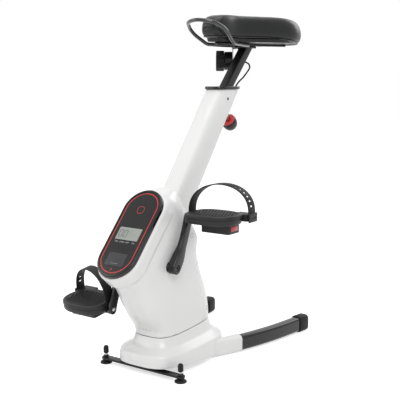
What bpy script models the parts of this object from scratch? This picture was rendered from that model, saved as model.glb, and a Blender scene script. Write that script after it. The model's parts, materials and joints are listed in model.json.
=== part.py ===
"""Desk exercise bike with a display pod, a leaning seat column and a belt-driven magnetic flywheel.

Axes: +X is the rider's left, +Y runs from the display towards the back of the saddle, +Z is up.
The origin lies on the floor, under the middle of the machine.
Inside the script a place is (side, back, up), with back measured from the line of the two front feet.
All sizes are in metres and all turns in radians.
"""

import math

import bmesh
import bpy
from mathutils import Matrix, Vector

# Whole machine
FEET_LINE_Y = -0.2513
GAP = 0.0003
OVERCUT = 0.02
BREAK_EDGE = 0.0008
ROUND_COUNT = 20
SMALL_COUNT = 12
SIDES = (("left", 1), ("right", -1))
SIDEWAYS = Vector((1.0, 0.0, 0.0))
UPWARDS = Vector((0.0, 0.0, 1.0))

# Cover walls
WALL = 0.003

# Base cover
COVER_FRONT = -0.022
COVER_BACK = 0.270
COVER_HALF_WIDTH = 0.096
COVER_SQUARENESS = 3.2
COVER_COUNT = 32
COVER_FRONT_BOTTOM = 0.023
COVER_BACK_BOTTOM = 0.005
COVER_FRONT_RIM = 0.052
COVER_BACK_RIM = 0.058
COVER_SHOULDER = ((0.0015, -0.006), (0.004, -0.001), (0.012, 0.0035))
NECK_DROP = 0.010
NECK_SHARE = 0.62

# Casing seam with the neck of the base cover
SEAM_FRONT = 0.018
SEAM_BACK = 0.235
SEAM_FRONT_UP = 0.086
SEAM_BACK_UP = 0.098
SEAM_HALF_WIDTH = 0.062
SEAM_SQUARENESS = 3.4
SEAM_OVERLAP = 0.004

# Casing
CASING_COUNT = 24
PANEL_SLICES = (
    (-0.112, (0.190, 0.282), 0.061, 3.2), (-0.070, (0.188, 0.290), 0.061, 3.3),
    (0.000, (0.187, 0.296), 0.060, 3.4), (0.070, (0.186, 0.300), 0.059, 3.5),
    (0.118, (0.185, 0.304), 0.057, 3.6),
)
LOW_SLICES = (
    ((0.012, 0.106), (0.234, 0.125), 0.0615, 3.4), ((-0.017, 0.142), (0.230, 0.165), 0.0610, 3.2),
    ((-0.040, 0.178), (0.214, 0.205), 0.0610, 3.2), ((-0.058, 0.212), (0.199, 0.240), 0.0610, 3.2),
    ((-0.088, 0.244), (0.192, 0.266), 0.0610, 3.2),
)
TOP_SLICE = ((0.098, 0.452), (0.160, 0.350), 0.036, 3.2)
COLUMN_PLAY = 0.0012

# Display
PANEL_TILT = math.radians(48.0)
PANEL_BACK = -0.0423
PANEL_UP = 0.3594
BEZEL_HALF_WIDTH = 0.0555
BEZEL_HALF_LENGTH = 0.1235
BEZEL_DEPTH = 0.010
BEZEL_EDGE = 0.0035
BEZEL_POCKET = 0.004
BEZEL_COUNT = 32
FACE_HALF_WIDTH = 0.0497
FACE_HALF_LENGTH = 0.1165
FACE_DROP = 0.0010
FACE_LEDGE = 0.006
POD_RIM = 0.0050
POD_DEPTH = 0.036
POD_EDGE = 0.003
POD_OPENING_TRIM = 0.012
POD_OPENING_DEPTH = 0.022
WINDOW_WIDTH = 0.067
WINDOW_HEIGHT = 0.034
WINDOW_THICKNESS = 0.0015
WINDOW_ALONG = -0.005
BUTTON_WIDTH = 0.055
BUTTON_HEIGHT = 0.0355
BUTTON_THICKNESS = 0.0024
BUTTON_CORNER = 0.003
BUTTON_ALONG = -0.0758
BUTTON_PROUD = 0.0004
BUTTON_PLAY = 0.0006
BOARD_WIDTH = 0.070
BOARD_LENGTH = 0.110
BOARD_THICKNESS = 0.0016

# Crank set
CRANK_BACK = 0.034
CRANK_UP = 0.268
CRANK_LENGTH = 0.128
CRANK_ANGLE = math.radians(26.5)
CRANK_MIDDLE = 0.0755
CRANK_ROOT_WIDTH = 0.032
CRANK_ARM_WIDTH = 0.024
CRANK_TIP_WIDTH = 0.026
CRANK_ROOT_THICKNESS = 0.020
CRANK_ARM_THICKNESS = 0.013
CRANK_BOW = 0.006
CRANK_EDGE = 0.002
CRANK_WAIST = (0.12, 0.50)
CRANK_STEPS = 8
CRANK_END_TURNS = tuple(math.radians(turn) for turn in (15.0, 36.0, 56.0, 75.0))
BOLT_RADIUS = 0.0075
BOLT_DEPTH = 0.006
BOLT_HEAD = 0.0045
BOLT_SOCKET_RADIUS = 0.003
BOLT_SOCKET_DEPTH = 0.003
BOLT_SHANK_RADIUS = 0.0042
AXLE_RADIUS = 0.0085
BEARING_RADIUS = 0.017
BEARING_HALF_WIDTH = 0.0165
SHELL_RADIUS = 0.021
SHELL_HALF_WIDTH = 0.017
SHAFT_HOLE_RADIUS = 0.0135

# Pedals
PEDAL_WIDTH = 0.134
PEDAL_LENGTH = 0.112
PEDAL_INNER_SQUARENESS = 3.4
PEDAL_OUTER_SQUARENESS = 2.2
PEDAL_COUNT = 28
PEDAL_TOP = 0.0195
PEDAL_RIM_TOP = 0.0185
PEDAL_RIM_BOTTOM = -0.0035
PEDAL_RIM_EDGE = 0.003
PEDAL_CRANK_GAP = 0.004
TREAD_INSET = 0.007
TREAD_THICKNESS = 0.003
TREAD_RIBS = 6
TREAD_GROOVE_WIDTH = 0.0032
TREAD_GROOVE_DEPTH = 0.0012
TREAD_GROOVE_REACH = 0.048
TREAD_RIB_PITCH = 0.012
BLOCK_WIDTH = 0.080
BLOCK_LENGTH = 0.050
BLOCK_DEPTH = 0.024
BLOCK_CORNER = 0.006
BLOCK_OUTWARD = 0.010
BLOCK_BACKWARD = 0.010
SPINDLE_RADIUS = 0.006
SPINDLE_THREAD_RADIUS = 0.005
SPINDLE_COLLAR_RADIUS = 0.008
SPINDLE_REACH = 0.110
SPINDLE_BOSS_RADIUS = 0.012
SPINDLE_BOSS_LENGTH = 0.030
REFLECTOR_WIDTH = 0.030
REFLECTOR_HEIGHT = 0.012
REFLECTOR_DEPTH = 0.002
REFLECTOR_PROUD = 0.001
TAB_INNER = 0.028
TAB_REACH = 0.004
TAB_BACK = (0.032, 0.070)
TAB_UP = (-0.0005, 0.0160)
STRAP_WIDTH = 0.030
STRAP_THICKNESS = 0.0024
STRAP_SEAT_GAP = 0.0006
STRAP_LOW = -0.0005
STRAP_INNER_LOW = 0.0095
STRAP_SHOULDER = 0.0145
STRAP_TOP = 0.0865
STRAP_INNER_BACK = 0.005
STRAP_OUTER_BACK = 0.051
STRAP_COUNT = 14
STRAP_ROUNDNESS = 0.8
STRAP_HOLE_RADIUS = 0.0026
STRAP_HOLE_ANGLES = (14.0, 27.0, 40.0, 53.0)
BUCKLE_WIDTH = 0.036
BUCKLE_HEIGHT = 0.022
BUCKLE_THICKNESS = 0.0035
BUCKLE_EDGE = 0.0012
FAR_PEDAL_PITCH = math.radians(8.0)

# Drive
PULLEY_RADIUS = 0.083
PULLEY_WIDTH = 0.012
PULLEY_SIDE = 0.031
PULLEY_FLANGE = 0.003
PULLEY_RIM = 0.008
PULLEY_HUB_RADIUS = 0.018
PULLEY_HALF_WEB = 0.002
PULLEY_COUNT = 28
PULLEY_HOLES = 5
PULLEY_HOLE_RADIUS = 0.017
PULLEY_HOLE_CIRCLE = 0.046
PULLEY_HOLE_TURN = math.radians(20.0)
BELT_THICKNESS = 0.0022
BELT_WIDTH = 0.008
BELT_STEPS = (16, 6)
SMALL_PULLEY_RADIUS = 0.0125
FLYWHEEL_BACK = 0.120
FLYWHEEL_UP = 0.172
FLYWHEEL_RADIUS = 0.068
FLYWHEEL_WIDTH = 0.014
FLYWHEEL_SIDE = -0.031
FLYWHEEL_RIM = 0.012
FLYWHEEL_WEB = 0.006
FLYWHEEL_HUB_RADIUS = 0.016
FLYWHEEL_SHAFT_RADIUS = 0.006
FLYWHEEL_SHAFT_END = 0.004

# Magnet brake
BRAKE_PIVOT_ANGLE = math.radians(130.0)
BRAKE_END_ANGLE = math.radians(32.0)
BRAKE_CLEARANCE = 0.0075
BRAKE_ARM_DEPTH = 0.006
BRAKE_ARM_WIDTH = 0.012
BRAKE_ARM_STEPS = 10
BRAKE_PIN_RADIUS = 0.003
BRAKE_EYE_RADIUS = 0.007
BRAKE_BOSS_GAP = 0.0006
BRAKE_PIN_END = 0.002
MAGNET_DEPTH = 0.003
MAGNET_BACKING = 0.001
MAGNET_TRIM = 0.002
MAGNET_LENGTH = 0.014
MAGNET_FIRST_STEP = 2
MAGNET_SHARES = (0.24, 0.46, 0.68, 0.90)

# Steel frame
MAST_DEPTH = 0.036
MAST_WIDTH = 0.032
MAST_CORNER = 0.004
MAST_FOOT_BACK = 0.118
MAST_STOPS = ((0.116, 0.080), (0.085, 0.165), (0.040, 0.268), (0.072, 0.348), (0.135, 0.420))
MAST_ABOVE_GUIDE_END = 0.006
MAST_STEPS = 3
PLATE_THICKNESS = 0.005
PLATE_HALF_WIDTH = 0.052
PLATE_FRONT = -0.004
PLATE_BACK = 0.155
PLATE_TAB_SIDE = 0.030
PLATE_TAB_HALF_WIDTH = 0.010
PLATE_TAB_LENGTH = 0.008
AXLE_BOSS_RADIUS = 0.015
AXLE_BOSS_HALF_WIDTH = 0.0165
AXLE_LUG_FRONT = 0.075
AXLE_LUG_HALF_WIDTH = 0.0107
AXLE_LUG_HALF_HEIGHT = 0.012
CABLE_STOP_SIDE = (0.004, 0.019)
CABLE_STOP_BACK = (0.095, 0.139)
CABLE_STOP_UP = (0.362, 0.370)

# Seat column
COLUMN_LEAN = math.radians(37.5)
COLUMN_TOP_BACK = 0.3555
COLUMN_TOP_UP = 0.690
COLUMN_BOTTOM_UP = 0.375
COLUMN_TOP_HALF_WIDTH = 0.0300
COLUMN_TOP_HALF_DEPTH = 0.0500
COLUMN_BOTTOM_HALF_WIDTH = 0.0320
COLUMN_BOTTOM_HALF_DEPTH = 0.0530
COLUMN_SQUARENESS = 3.6
COLUMN_COUNT = 24
COLLAR_OVERHANG = 0.0030
COLLAR_THICKNESS = 0.0075
COLLAR_EDGE = 0.0015

# Seat post, leaning further back than its cover
POST_LEAN = math.radians(43.0)
POST_BACK = 0.4280
POST_UP = 0.7556
POST_WIDTH = 0.026
POST_WALL = 0.002
POST_CORNER = 0.003
POST_TOP_UP = 0.802
POST_END_UP = 0.520
GUIDE_WALL = 0.003
GUIDE_PLAY = 0.0006
GUIDE_CORNER = 0.004
GUIDE_TOP_UP = 0.676
GUIDE_END_UP = 0.490

# Height lock
LOCK_BACK = 0.383
LOCK_UP = 0.606
LOCK_KNOB_RADIUS = 0.021
LOCK_KNOB_LENGTH = 0.030
LOCK_KNOB_SHOULDER = 0.006
LOCK_KNOB_BORE = 0.011
LOCK_KNOB_ROUNDNESS = 0.7
LOCK_KNOB_STEPS = 5
LOCK_INSERT_RADIUS = 0.0195
LOCK_INSERT_LENGTH = 0.006
LOCK_INSERT_EDGE = 0.0012
LOCK_BARREL_RADIUS = 0.009
LOCK_BARREL = (-0.0525, -0.0045)
LOCK_PIN_RADIUS = 0.004
LOCK_PIN = (-0.055, 0.012)
LOCK_HOLE_RADIUS = 0.0046
LOCK_HOLE_PITCH = 0.030
LOCK_HOLES_BELOW = 5
LOCK_HOLES_ABOVE = 1

# Saddle
SADDLE_FRONT = 0.285
SADDLE_BACK = 0.626
SADDLE_NOSE_HALF_WIDTH = 0.0445
SADDLE_HALF_WIDTH = 0.130
SADDLE_FLARE = (0.16, 0.78)
SADDLE_BOTTOM = 0.825
SADDLE_TOP = 0.884
SADDLE_REAR_DROP = 0.015
SADDLE_DROP_START = 0.45
SADDLE_END_SQUARENESS = 0.55
SADDLE_SIDE_SQUARENESS = 0.50
SADDLE_COUNT = 32
CUSHION_LAYERS = (
    (0.87, 0.00, 0.0), (0.90, 0.00, 1.0), (0.965, 0.08, 1.0), (1.00, 0.30, 0.9), (0.99, 0.58, 0.6),
    (0.94, 0.82, 0.4), (0.82, 0.96, 0.2), (0.55, 1.00, 0.1),
)
PAN_UNDER = 0.8157
PAN_SCALE = 0.84
PAN_EDGE = 0.0015
PAN_EDGE_SCALE = 0.02

# Saddle rails: (side, back) stops from a rear end to the nose bend
RAIL_RADIUS = 0.0035
RAIL_UP = 0.8117
RAIL_STOPS = ((0.060, 0.590), (0.048, 0.571), (0.020, 0.525), (0.010, 0.500), (0.010, 0.415), (0.0085, 0.342),
              (0.0060, 0.3335))
RAIL_NOSE_BACK = 0.330
RAIL_COUNT = 8
RAIL_STEPS = 2

# Clamp plate on the post
CLAMP_HALF_WIDTH = 0.0145
CLAMP_BACK = (0.440, 0.505)
CLAMP_THICKNESS = 0.0055
CLAMP_WING_SIDE = -0.038
CLAMP_WING_BACK = (0.4585, 0.490)

# Grip bar: (side, back, up) stops from the clamp to the middle of its front
BAR_RADIUS = 0.0050
BAR_COUNT = 8
BAR_STEPS = 2
BAR_STOPS = (
    (0.0198, 0.4530, 0.8090), (0.0285, 0.4100, 0.8090), (0.0385, 0.3650, 0.8098), (0.0440, 0.3450, 0.8112),
    (0.0480, 0.3250, 0.8205), (0.0530, 0.3029, 0.8329), (0.0535, 0.2834, 0.8453), (0.0480, 0.2673, 0.8545),
    (0.0385, 0.2513, 0.8616), (0.0200, 0.2395, 0.8655), (0.0, 0.2350, 0.8670),
)

# Tension dial, facing the rider's right front
DIAL_TURN = math.radians(35.0)
DIAL_SIDE = -0.033
DIAL_BACK = 0.4562
DIAL_UP = 0.7675
DIAL_PLATE_THICKNESS = 0.0025
DIAL_PLATE_HALF_WIDTH = 0.018
DIAL_PLATE_LOW = 0.742
DIAL_TAB_SIDE = (-0.040, -0.0137)
DIAL_TAB_BACK = (0.452, 0.4885)
DIAL_BASE_RADIUS = 0.0256
DIAL_BASE_LENGTH = 0.0215
DIAL_BASE_EDGE = 0.0015
DIAL_NECK_GAP = 0.0010
DIAL_KNOB_RADIUS = 0.0285
DIAL_KNOB_LENGTH = 0.0225
DIAL_LOBES = 9
DIAL_LOBE_DEPTH = 0.0018
DIAL_LOBE_STEPS = 4
DIAL_SPIGOT_RADIUS = 0.005
DIAL_SPIGOT_LENGTH = 0.014

# Tension cable: (side, back, up) stops behind the post, and down to its stop on the mast
CABLE_RADIUS = 0.0022
CABLE_COUNT = 8
CABLE_STEPS = 2
CABLE_LOOP = (
    (-0.0180, 0.4655, 0.7670), (-0.0040, 0.4780, 0.7640), (0.0030, 0.4840, 0.7590), (0.0075, 0.4825, 0.7500),
    (0.0105, 0.4700, 0.7410), (0.0125, 0.4415, 0.7225),
)
CABLE_SIDE = 0.0125
CABLE_COLLAR_BACK = 0.398
CABLE_COLLAR_UP = 0.694
CABLE_BELOW = (
    (0.3030, 0.5920), (0.2400, 0.5243), (0.2120, 0.4935), (0.1935, 0.4630), (0.1760, 0.4330),
    (0.1585, 0.4060), (0.1400, 0.3850),
)
CABLE_END_BACK = 0.133
CABLE_PLAY = 0.0012
CABLE_HOLE_REACH = 0.090
CABLE_END_GAP = 0.001

# Legs
LEG_HEIGHT = 0.040
LEG_WIDTH = 0.028
LEG_BOTTOM = 0.0035
LEG_CORNER = 0.008
LEG_CORNER_STEPS = 2
LEG_ROUTE = ((0.036, 0.125), (0.086, 0.208), (0.118, 0.292), (0.144, 0.400), (0.163, 0.535))
LEG_STEPS = 4
SLEEVE_WALL = 0.0025
SLEEVE_ENDS = (2, 8)
CAP_WALL = 0.0032
CAP_PROFILE = ((-0.034, -0.0012), (-0.031, 0.0), (0.002, 0.0), (0.0065, -0.0025), (0.009, -0.007))

# Front feet
FOOT_SIDE = 0.118
FOOT_BAR_THICKNESS = 0.0045
FOOT_BAR_WIDTH = 0.022
FOOT_BAR_UP = 0.0120
FOOT_DISC_PROFILE = ((0.0, 0.0), (0.014, 0.0), (0.015, 0.001), (0.015, 0.0035), (0.012, 0.006))
FOOT_DISC_TOP = 0.0085
FOOT_STUD_RADIUS = 0.0040
FOOT_NUT_RADIUS = 0.0075
FOOT_NUT_HEIGHT = 0.0050
FOOT_CAP_RADIUS = 0.0068
FOOT_CAP_EDGE = 0.003
FOOT_CAP_BOTTOM = 0.0270
FOOT_CAP_TOP = 0.0460
FOOT_COUNT = 16

# Colour, roughness and metal of each finish
FINISHES = {
    "white_shell": ((0.90, 0.90, 0.90), 0.30, 0.0),
    "black_gloss": ((0.012, 0.012, 0.013), 0.22, 0.0),
    "black_paint": ((0.020, 0.020, 0.021), 0.35, 0.2),
    "black_rubber": ((0.025, 0.025, 0.026), 0.75, 0.0),
    "pedal_plastic": ((0.055, 0.055, 0.057), 0.60, 0.0),
    "vinyl": ((0.018, 0.018, 0.019), 0.45, 0.0),
    "steel": ((0.62, 0.62, 0.64), 0.28, 1.0),
    "cast_iron": ((0.16, 0.16, 0.17), 0.55, 0.8),
    "grey_plastic": ((0.30, 0.30, 0.31), 0.55, 0.0),
    "red_plastic": ((0.62, 0.03, 0.03), 0.35, 0.0),
    "window": ((0.42, 0.45, 0.42), 0.15, 0.0),
    "board": ((0.03, 0.18, 0.08), 0.60, 0.0),
}
SMOOTH_ANGLE = math.radians(35.0)


def clear_scene():
    """Start from an empty scene."""
    for item in list(bpy.data.objects):
        bpy.data.objects.remove(item, do_unlink=True)


def make_finishes():
    """Make one Principled material for each finish."""
    made = {}
    for name, (colour, roughness, metallic) in FINISHES.items():
        finish = bpy.data.materials.new(name)
        finish.use_nodes = True
        shader = finish.node_tree.nodes["Principled BSDF"]
        shader.inputs["Base Color"].default_value = (*colour, 1.0)
        shader.inputs["Roughness"].default_value = roughness
        shader.inputs["Metallic"].default_value = metallic
        made[name] = finish
    return made


def make_hub(name, parent, place, turn=0.0):
    """Add an empty at a joint axis, turned about its side axis."""
    hub = bpy.data.objects.new(name, None)
    bpy.context.scene.collection.objects.link(hub)
    hub.parent = parent
    hub.location = place
    hub.rotation_euler = (turn, 0.0, 0.0)
    return hub


def new_object(name, shape, hub):
    """Link one mesh under a hub. The shape is drawn in the hub's own axes."""
    mesh = bpy.data.meshes.new(name)
    shape.to_mesh(mesh)
    shape.free()
    mesh.shade_smooth()
    mesh.set_sharp_from_angle(angle=SMOOTH_ANGLE)
    made = bpy.data.objects.new(name, mesh)
    bpy.context.scene.collection.objects.link(made)
    made.parent = hub
    return made


def add_piece(name, shape, finish, hub):
    """Add one physical piece with its own copy of a finish."""
    piece = new_object(name, shape, hub)
    own = MATERIALS[finish].copy()
    own.name = name + "_" + finish
    piece.data.materials.append(own)
    return piece


def add_tool(name, shape, hub):
    """Add a hidden shape that only cuts or joins."""
    tool = new_object(name + "_tool", shape, hub)
    tool.hide_render = True
    tool.display_type = "WIRE"
    return tool


def combine(piece, tool, operation):
    """Combine a piece with a hidden shape."""
    step = piece.modifiers.new(operation.lower(), "BOOLEAN")
    step.operation = operation
    step.solver = "EXACT"
    step.object = tool


def cut(piece, *tools):
    """Take hidden shapes out of a piece."""
    for tool in tools:
        combine(piece, tool, "DIFFERENCE")


def join(piece, *tools):
    """Add hidden shapes to a piece."""
    for tool in tools:
        combine(piece, tool, "UNION")


def skin(rings, wrap=False):
    """Skin rings of points into one closed body. A ring of one point is a tip."""
    shape = bmesh.new()
    loops = [[shape.verts.new(point) for point in ring] for ring in rings]
    pairs = list(zip(loops, loops[1:]))
    if wrap:
        pairs.append((loops[-1], loops[0]))
    for low, high in pairs:
        count = max(len(low), len(high))
        for index in range(count):
            following = (index + 1) % count
            if len(low) == 1:
                corners = (low[0], high[following], high[index])
            elif len(high) == 1:
                corners = (low[index], low[following], high[0])
            else:
                corners = (low[index], low[following], high[following], high[index])
            shape.faces.new(corners)
    if not wrap:
        for loop in (loops[0], loops[-1]):
            if len(loop) > 1:
                shape.faces.new(loop)
    bmesh.ops.recalc_face_normals(shape, faces=shape.faces)
    return shape


def superellipse(half_width, half_length, squareness, count):
    """Points of a superellipse; 2 is an ellipse and larger values are squarer."""
    points = []
    for index in range(count):
        angle = math.tau * index / count
        across, along = math.cos(angle), math.sin(angle)
        points.append((
            math.copysign(abs(across) ** (2.0 / squareness), across) * half_width,
            math.copysign(abs(along) ** (2.0 / squareness), along) * half_length,
        ))
    return points


def stadium(half_width, half_length, count):
    """Points of a straight-sided outline with two round ends along its length."""
    points = []
    straight = half_length - half_width
    steps = count // 2
    for centre, start in ((straight, 0.0), (-straight, math.pi)):
        for index in range(steps + 1):
            angle = start + math.pi * index / steps
            points.append((half_width * math.cos(angle), centre + half_width * math.sin(angle)))
    return points


def rectangle(width, height):
    """Corners of a rectangle centred on zero."""
    half_width, half_height = width / 2, height / 2
    return [(half_width, half_height), (-half_width, half_height), (-half_width, -half_height),
            (half_width, -half_height)]


def rounded_rectangle(width, height, radius, corner_steps=1):
    """Points of a rectangle with round corners, centred on zero."""
    points = []
    quarter = math.pi / 2
    for corner in range(4):
        start = corner * quarter
        centre_x = math.copysign(width / 2 - radius, math.cos(start + quarter / 2))
        centre_y = math.copysign(height / 2 - radius, math.sin(start + quarter / 2))
        for step in range(corner_steps + 1):
            angle = start + quarter * step / corner_steps
            points.append((centre_x + radius * math.cos(angle), centre_y + radius * math.sin(angle)))
    return points


def circle(radius, count=ROUND_COUNT):
    """Points of a circle."""
    turns = [math.tau * index / count for index in range(count)]
    return [(radius * math.cos(angle), radius * math.sin(angle)) for angle in turns]


def axes_along(direction, upward=UPWARDS):
    """Two unit vectors square to a direction: across it, and nearest to upward."""
    ahead = Vector(direction).normalized()
    across = ahead.cross(upward)
    if across.length < GAP:
        across = SIDEWAYS.copy()
    across.normalize()
    return across, across.cross(ahead)


def turned(start, direction, profile, count=ROUND_COUNT, wrap=False):
    """Revolve (radius, distance) points about a line. A closed profile with a bore is wrapped."""
    ahead = Vector(direction).normalized()
    across, above = axes_along(ahead)
    rings = []
    for radius, distance in profile:
        centre = Vector(start) + ahead * distance
        if radius == 0.0:
            rings.append([centre])
        else:
            rings.append([centre + across * x + above * y for x, y in circle(radius, count)])
    return skin(rings, wrap)


def rod(start, direction, radius, length, edge=0.0, count=ROUND_COUNT):
    """A solid rod with chamfered ends."""
    profile = [(radius, 0.0), (radius, length)]
    if edge:
        profile = [(radius - edge, 0.0), (radius, edge), (radius, length - edge), (radius - edge, length)]
    return turned(start, direction, profile, count)


def pipe(start, direction, outer, inner, length, edge, count=ROUND_COUNT):
    """A rod with a bore right through it and chamfered outer edges."""
    profile = [(inner, 0.0), (inner, length), (outer - edge, length), (outer, length - edge),
               (outer, edge), (outer - edge, 0.0)]
    return turned(start, direction, profile, count, wrap=True)


def swept(route, section, upward=UPWARDS):
    """Carry a flat section of (across, above) points along a route."""
    points = [Vector(point) for point in route]
    rings = []
    for index, point in enumerate(points):
        before = points[max(index - 1, 0)]
        after = points[min(index + 1, len(points) - 1)]
        across, above = axes_along(after - before, upward)
        rings.append([point + across * x + above * y for x, y in section])
    return skin(rings)


def carried(route, section):
    """Carry a section along a winding route with the least twist."""
    points = [Vector(point) for point in route]
    ahead = (points[1] - points[0]).normalized()
    across, above = axes_along(ahead)
    rings = []
    for index, point in enumerate(points):
        before = points[max(index - 1, 0)]
        after = points[min(index + 1, len(points) - 1)]
        heading = (after - before).normalized()
        turn = ahead.rotation_difference(heading)
        across.rotate(turn)
        above.rotate(turn)
        ahead = heading
        rings.append([point + across * x + above * y for x, y in section])
    return skin(rings)


def smooth_route(stops, steps):
    """A smooth curve through every stop."""
    points = [Vector(stop) for stop in stops]
    ends = [points[0] * 2 - points[1]] + points + [points[-1] * 2 - points[-2]]
    route = []
    for index in range(1, len(ends) - 2):
        a, b, c, d = ends[index - 1:index + 3]
        for step in range(steps):
            t = step / steps
            route.append(0.5 * (2 * b + (c - a) * t + (2 * a - 5 * b + 4 * c - d) * t ** 2
                                + (3 * b - a - 3 * c + d) * t ** 3))
    route.append(points[-1])
    return route


def box(low, high, edge=0.0):
    """A box between two opposite corners, with chamfered edges."""
    low, high = Vector(low), Vector(high)
    size = Vector([abs(reach) for reach in high - low])
    shape = bmesh.new()
    bmesh.ops.create_cube(shape, size=1.0)
    bmesh.ops.scale(shape, vec=size, verts=shape.verts)
    bmesh.ops.translate(shape, vec=(low + high) / 2, verts=shape.verts)
    if edge:
        bmesh.ops.bevel(shape, geom=shape.edges[:], offset=edge, segments=1, profile=0.5, affect="EDGES")
    return shape


def outline_layer(outline, matrix, height, shrink):
    """A flat outline at a height, with its edge drawn in by a shrink."""
    reach_x = max(abs(x) for x, _ in outline)
    reach_y = max(abs(y) for _, y in outline)
    scale_x, scale_y = 1.0 - shrink / reach_x, 1.0 - shrink / reach_y
    return [matrix @ Vector((x * scale_x, y * scale_y, height)) for x, y in outline]


def slab(outline, matrix, low, high, edge=0.0, edge_steps=1):
    """Extrude a centred outline along its own normal, with a rounded upper rim when an edge is given."""
    rings = [outline_layer(outline, matrix, low, 0.0)]
    if edge:
        for step in range(edge_steps + 1):
            angle = math.pi / 2 * step / edge_steps
            rings.append(outline_layer(outline, matrix, high - edge + edge * math.sin(angle),
                                       edge * (1.0 - math.cos(angle))))
    else:
        rings.append(outline_layer(outline, matrix, high, 0.0))
    return skin(rings)


def lifted(ring, rise):
    """A ring moved straight up."""
    return [point + UPWARDS * rise for point in ring]


def ease(value, low, high):
    """Rise smoothly from 0 at low to 1 at high."""
    share = min(max((value - low) / (high - low), 0.0), 1.0)
    return share * share * (3.0 - 2.0 * share)


def mix(first, second, share):
    """Blend two values."""
    return first + (second - first) * share


def square_frame(across, along, outward, place):
    """Matrix from three square directions and a place."""
    return Matrix((
        (across.x, along.x, outward.x, place.x),
        (across.y, along.y, outward.y, place.y),
        (across.z, along.z, outward.z, place.z),
        (0.0, 0.0, 0.0, 1.0),
    ))


def panel_matrix(lift=0.0):
    """Frame of the display: X to the rider's left, Y up the panel, Z out of its face."""
    along = Vector((0.0, math.cos(PANEL_TILT), math.sin(PANEL_TILT)))
    outward = Vector((0.0, -math.sin(PANEL_TILT), math.cos(PANEL_TILT)))
    place = Vector((0.0, PANEL_BACK, PANEL_UP)) + outward * lift
    return square_frame(along.cross(outward), along, outward, place)


def column_centre(up):
    """Back position of the column's axis at a height."""
    return COLUMN_TOP_BACK - (COLUMN_TOP_UP - up) * math.tan(COLUMN_LEAN)


def column_direction():
    """Unit vector up the column."""
    return Vector((0.0, math.sin(COLUMN_LEAN), math.cos(COLUMN_LEAN)))


def column_ring(up, spread):
    """Horizontal outline of the column cover at a height, grown by a spread."""
    share = (up - COLUMN_BOTTOM_UP) / (COLUMN_TOP_UP - COLUMN_BOTTOM_UP)
    half_width = mix(COLUMN_BOTTOM_HALF_WIDTH, COLUMN_TOP_HALF_WIDTH, share) + spread
    half_depth = mix(COLUMN_BOTTOM_HALF_DEPTH, COLUMN_TOP_HALF_DEPTH, share) + spread / math.cos(COLUMN_LEAN)
    outline = superellipse(half_width, half_depth, COLUMN_SQUARENESS, COLUMN_COUNT)
    return [Vector((x, column_centre(up) + y, up)) for x, y in outline]


def post_point(up):
    """Point on the seat post's axis at a height."""
    return Vector((0.0, POST_BACK - (POST_UP - up) * math.tan(POST_LEAN), up))


def post_direction():
    """Unit vector up the seat post."""
    return Vector((0.0, math.sin(POST_LEAN), math.cos(POST_LEAN)))


def lock_direction():
    """Unit vector along the lock pin, out of the column's back."""
    return Vector((0.0, math.cos(POST_LEAN), -math.sin(POST_LEAN)))


def lock_point(distance):
    """Point on the lock pin's axis, measured outwards from its red insert."""
    return Vector((0.0, LOCK_BACK, LOCK_UP)) + lock_direction() * distance


def casing_rings(inset):
    """Fan of slices between the front line and the back line of the casing."""
    panel = panel_matrix(-BEZEL_DEPTH)
    slices = [((SEAM_FRONT, SEAM_FRONT_UP), (SEAM_BACK, SEAM_BACK_UP), SEAM_HALF_WIDTH, SEAM_SQUARENESS)]
    slices += LOW_SLICES
    for along, back, half_width, squareness in PANEL_SLICES:
        place = panel @ Vector((0.0, along, 0.0))
        slices.append(((place.y, place.z), back, half_width, squareness))
    slices.append(TOP_SLICE)
    rings = []
    for front, back, half_width, squareness in slices:
        front, back = Vector((0.0, *front)), Vector((0.0, *back))
        centre = (front + back) / 2
        reach = (back - front) / 2
        inward = 1.0 - inset / reach.length
        rings.append([centre + SIDEWAYS * x + reach * y * inward
                      for x, y in superellipse(half_width - inset, 1.0, squareness, CASING_COUNT)])
    return rings


def casing_hollow():
    """Inside of the casing, running out through the seam."""
    rings = casing_rings(WALL)
    rings[0] = lifted(rings[0], -SEAM_OVERLAP)
    rings[-1] = [point - column_direction() * WALL for point in rings[-1]]
    return skin(rings)


def neck_ring(spread):
    """Upper edge of the base cover's neck, just under the casing's seam."""
    middle = (SEAM_FRONT + SEAM_BACK) / 2
    half_length = (SEAM_BACK - SEAM_FRONT) / 2
    ring = []
    for x, y in superellipse(SEAM_HALF_WIDTH + spread, half_length + spread, SEAM_SQUARENESS, COVER_COUNT):
        up = mix(SEAM_FRONT_UP, SEAM_BACK_UP, (y + half_length) / (2 * half_length))
        ring.append(Vector((x, middle + y, up - GAP)))
    return ring


def base_ring(spread, front_up, back_up):
    """Plan outline of the base cover at a sloping height."""
    middle = (COVER_FRONT + COVER_BACK) / 2
    half_length = (COVER_BACK - COVER_FRONT) / 2
    ring = []
    for x, y in superellipse(COVER_HALF_WIDTH + spread, half_length + spread, COVER_SQUARENESS, COVER_COUNT):
        share = ease(y, -half_length, half_length)
        ring.append(Vector((x, middle + y, mix(front_up, back_up, share))))
    return ring


def base_cover_rings(inset):
    """Wall, sloping shoulder and hollow neck of the base cover."""
    rings = [base_ring(-inset, COVER_FRONT_BOTTOM, COVER_BACK_BOTTOM)]
    for step_in, step_up in COVER_SHOULDER:
        rise = step_up - inset
        rings.append(base_ring(-step_in - inset, COVER_FRONT_RIM + rise, COVER_BACK_RIM + rise))
    neck = neck_ring(-inset)
    lower_neck = [mix(outer, inner, NECK_SHARE) for outer, inner in zip(rings[-1], neck)]
    rings += [lifted(lower_neck, -NECK_DROP), neck]
    return rings


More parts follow.
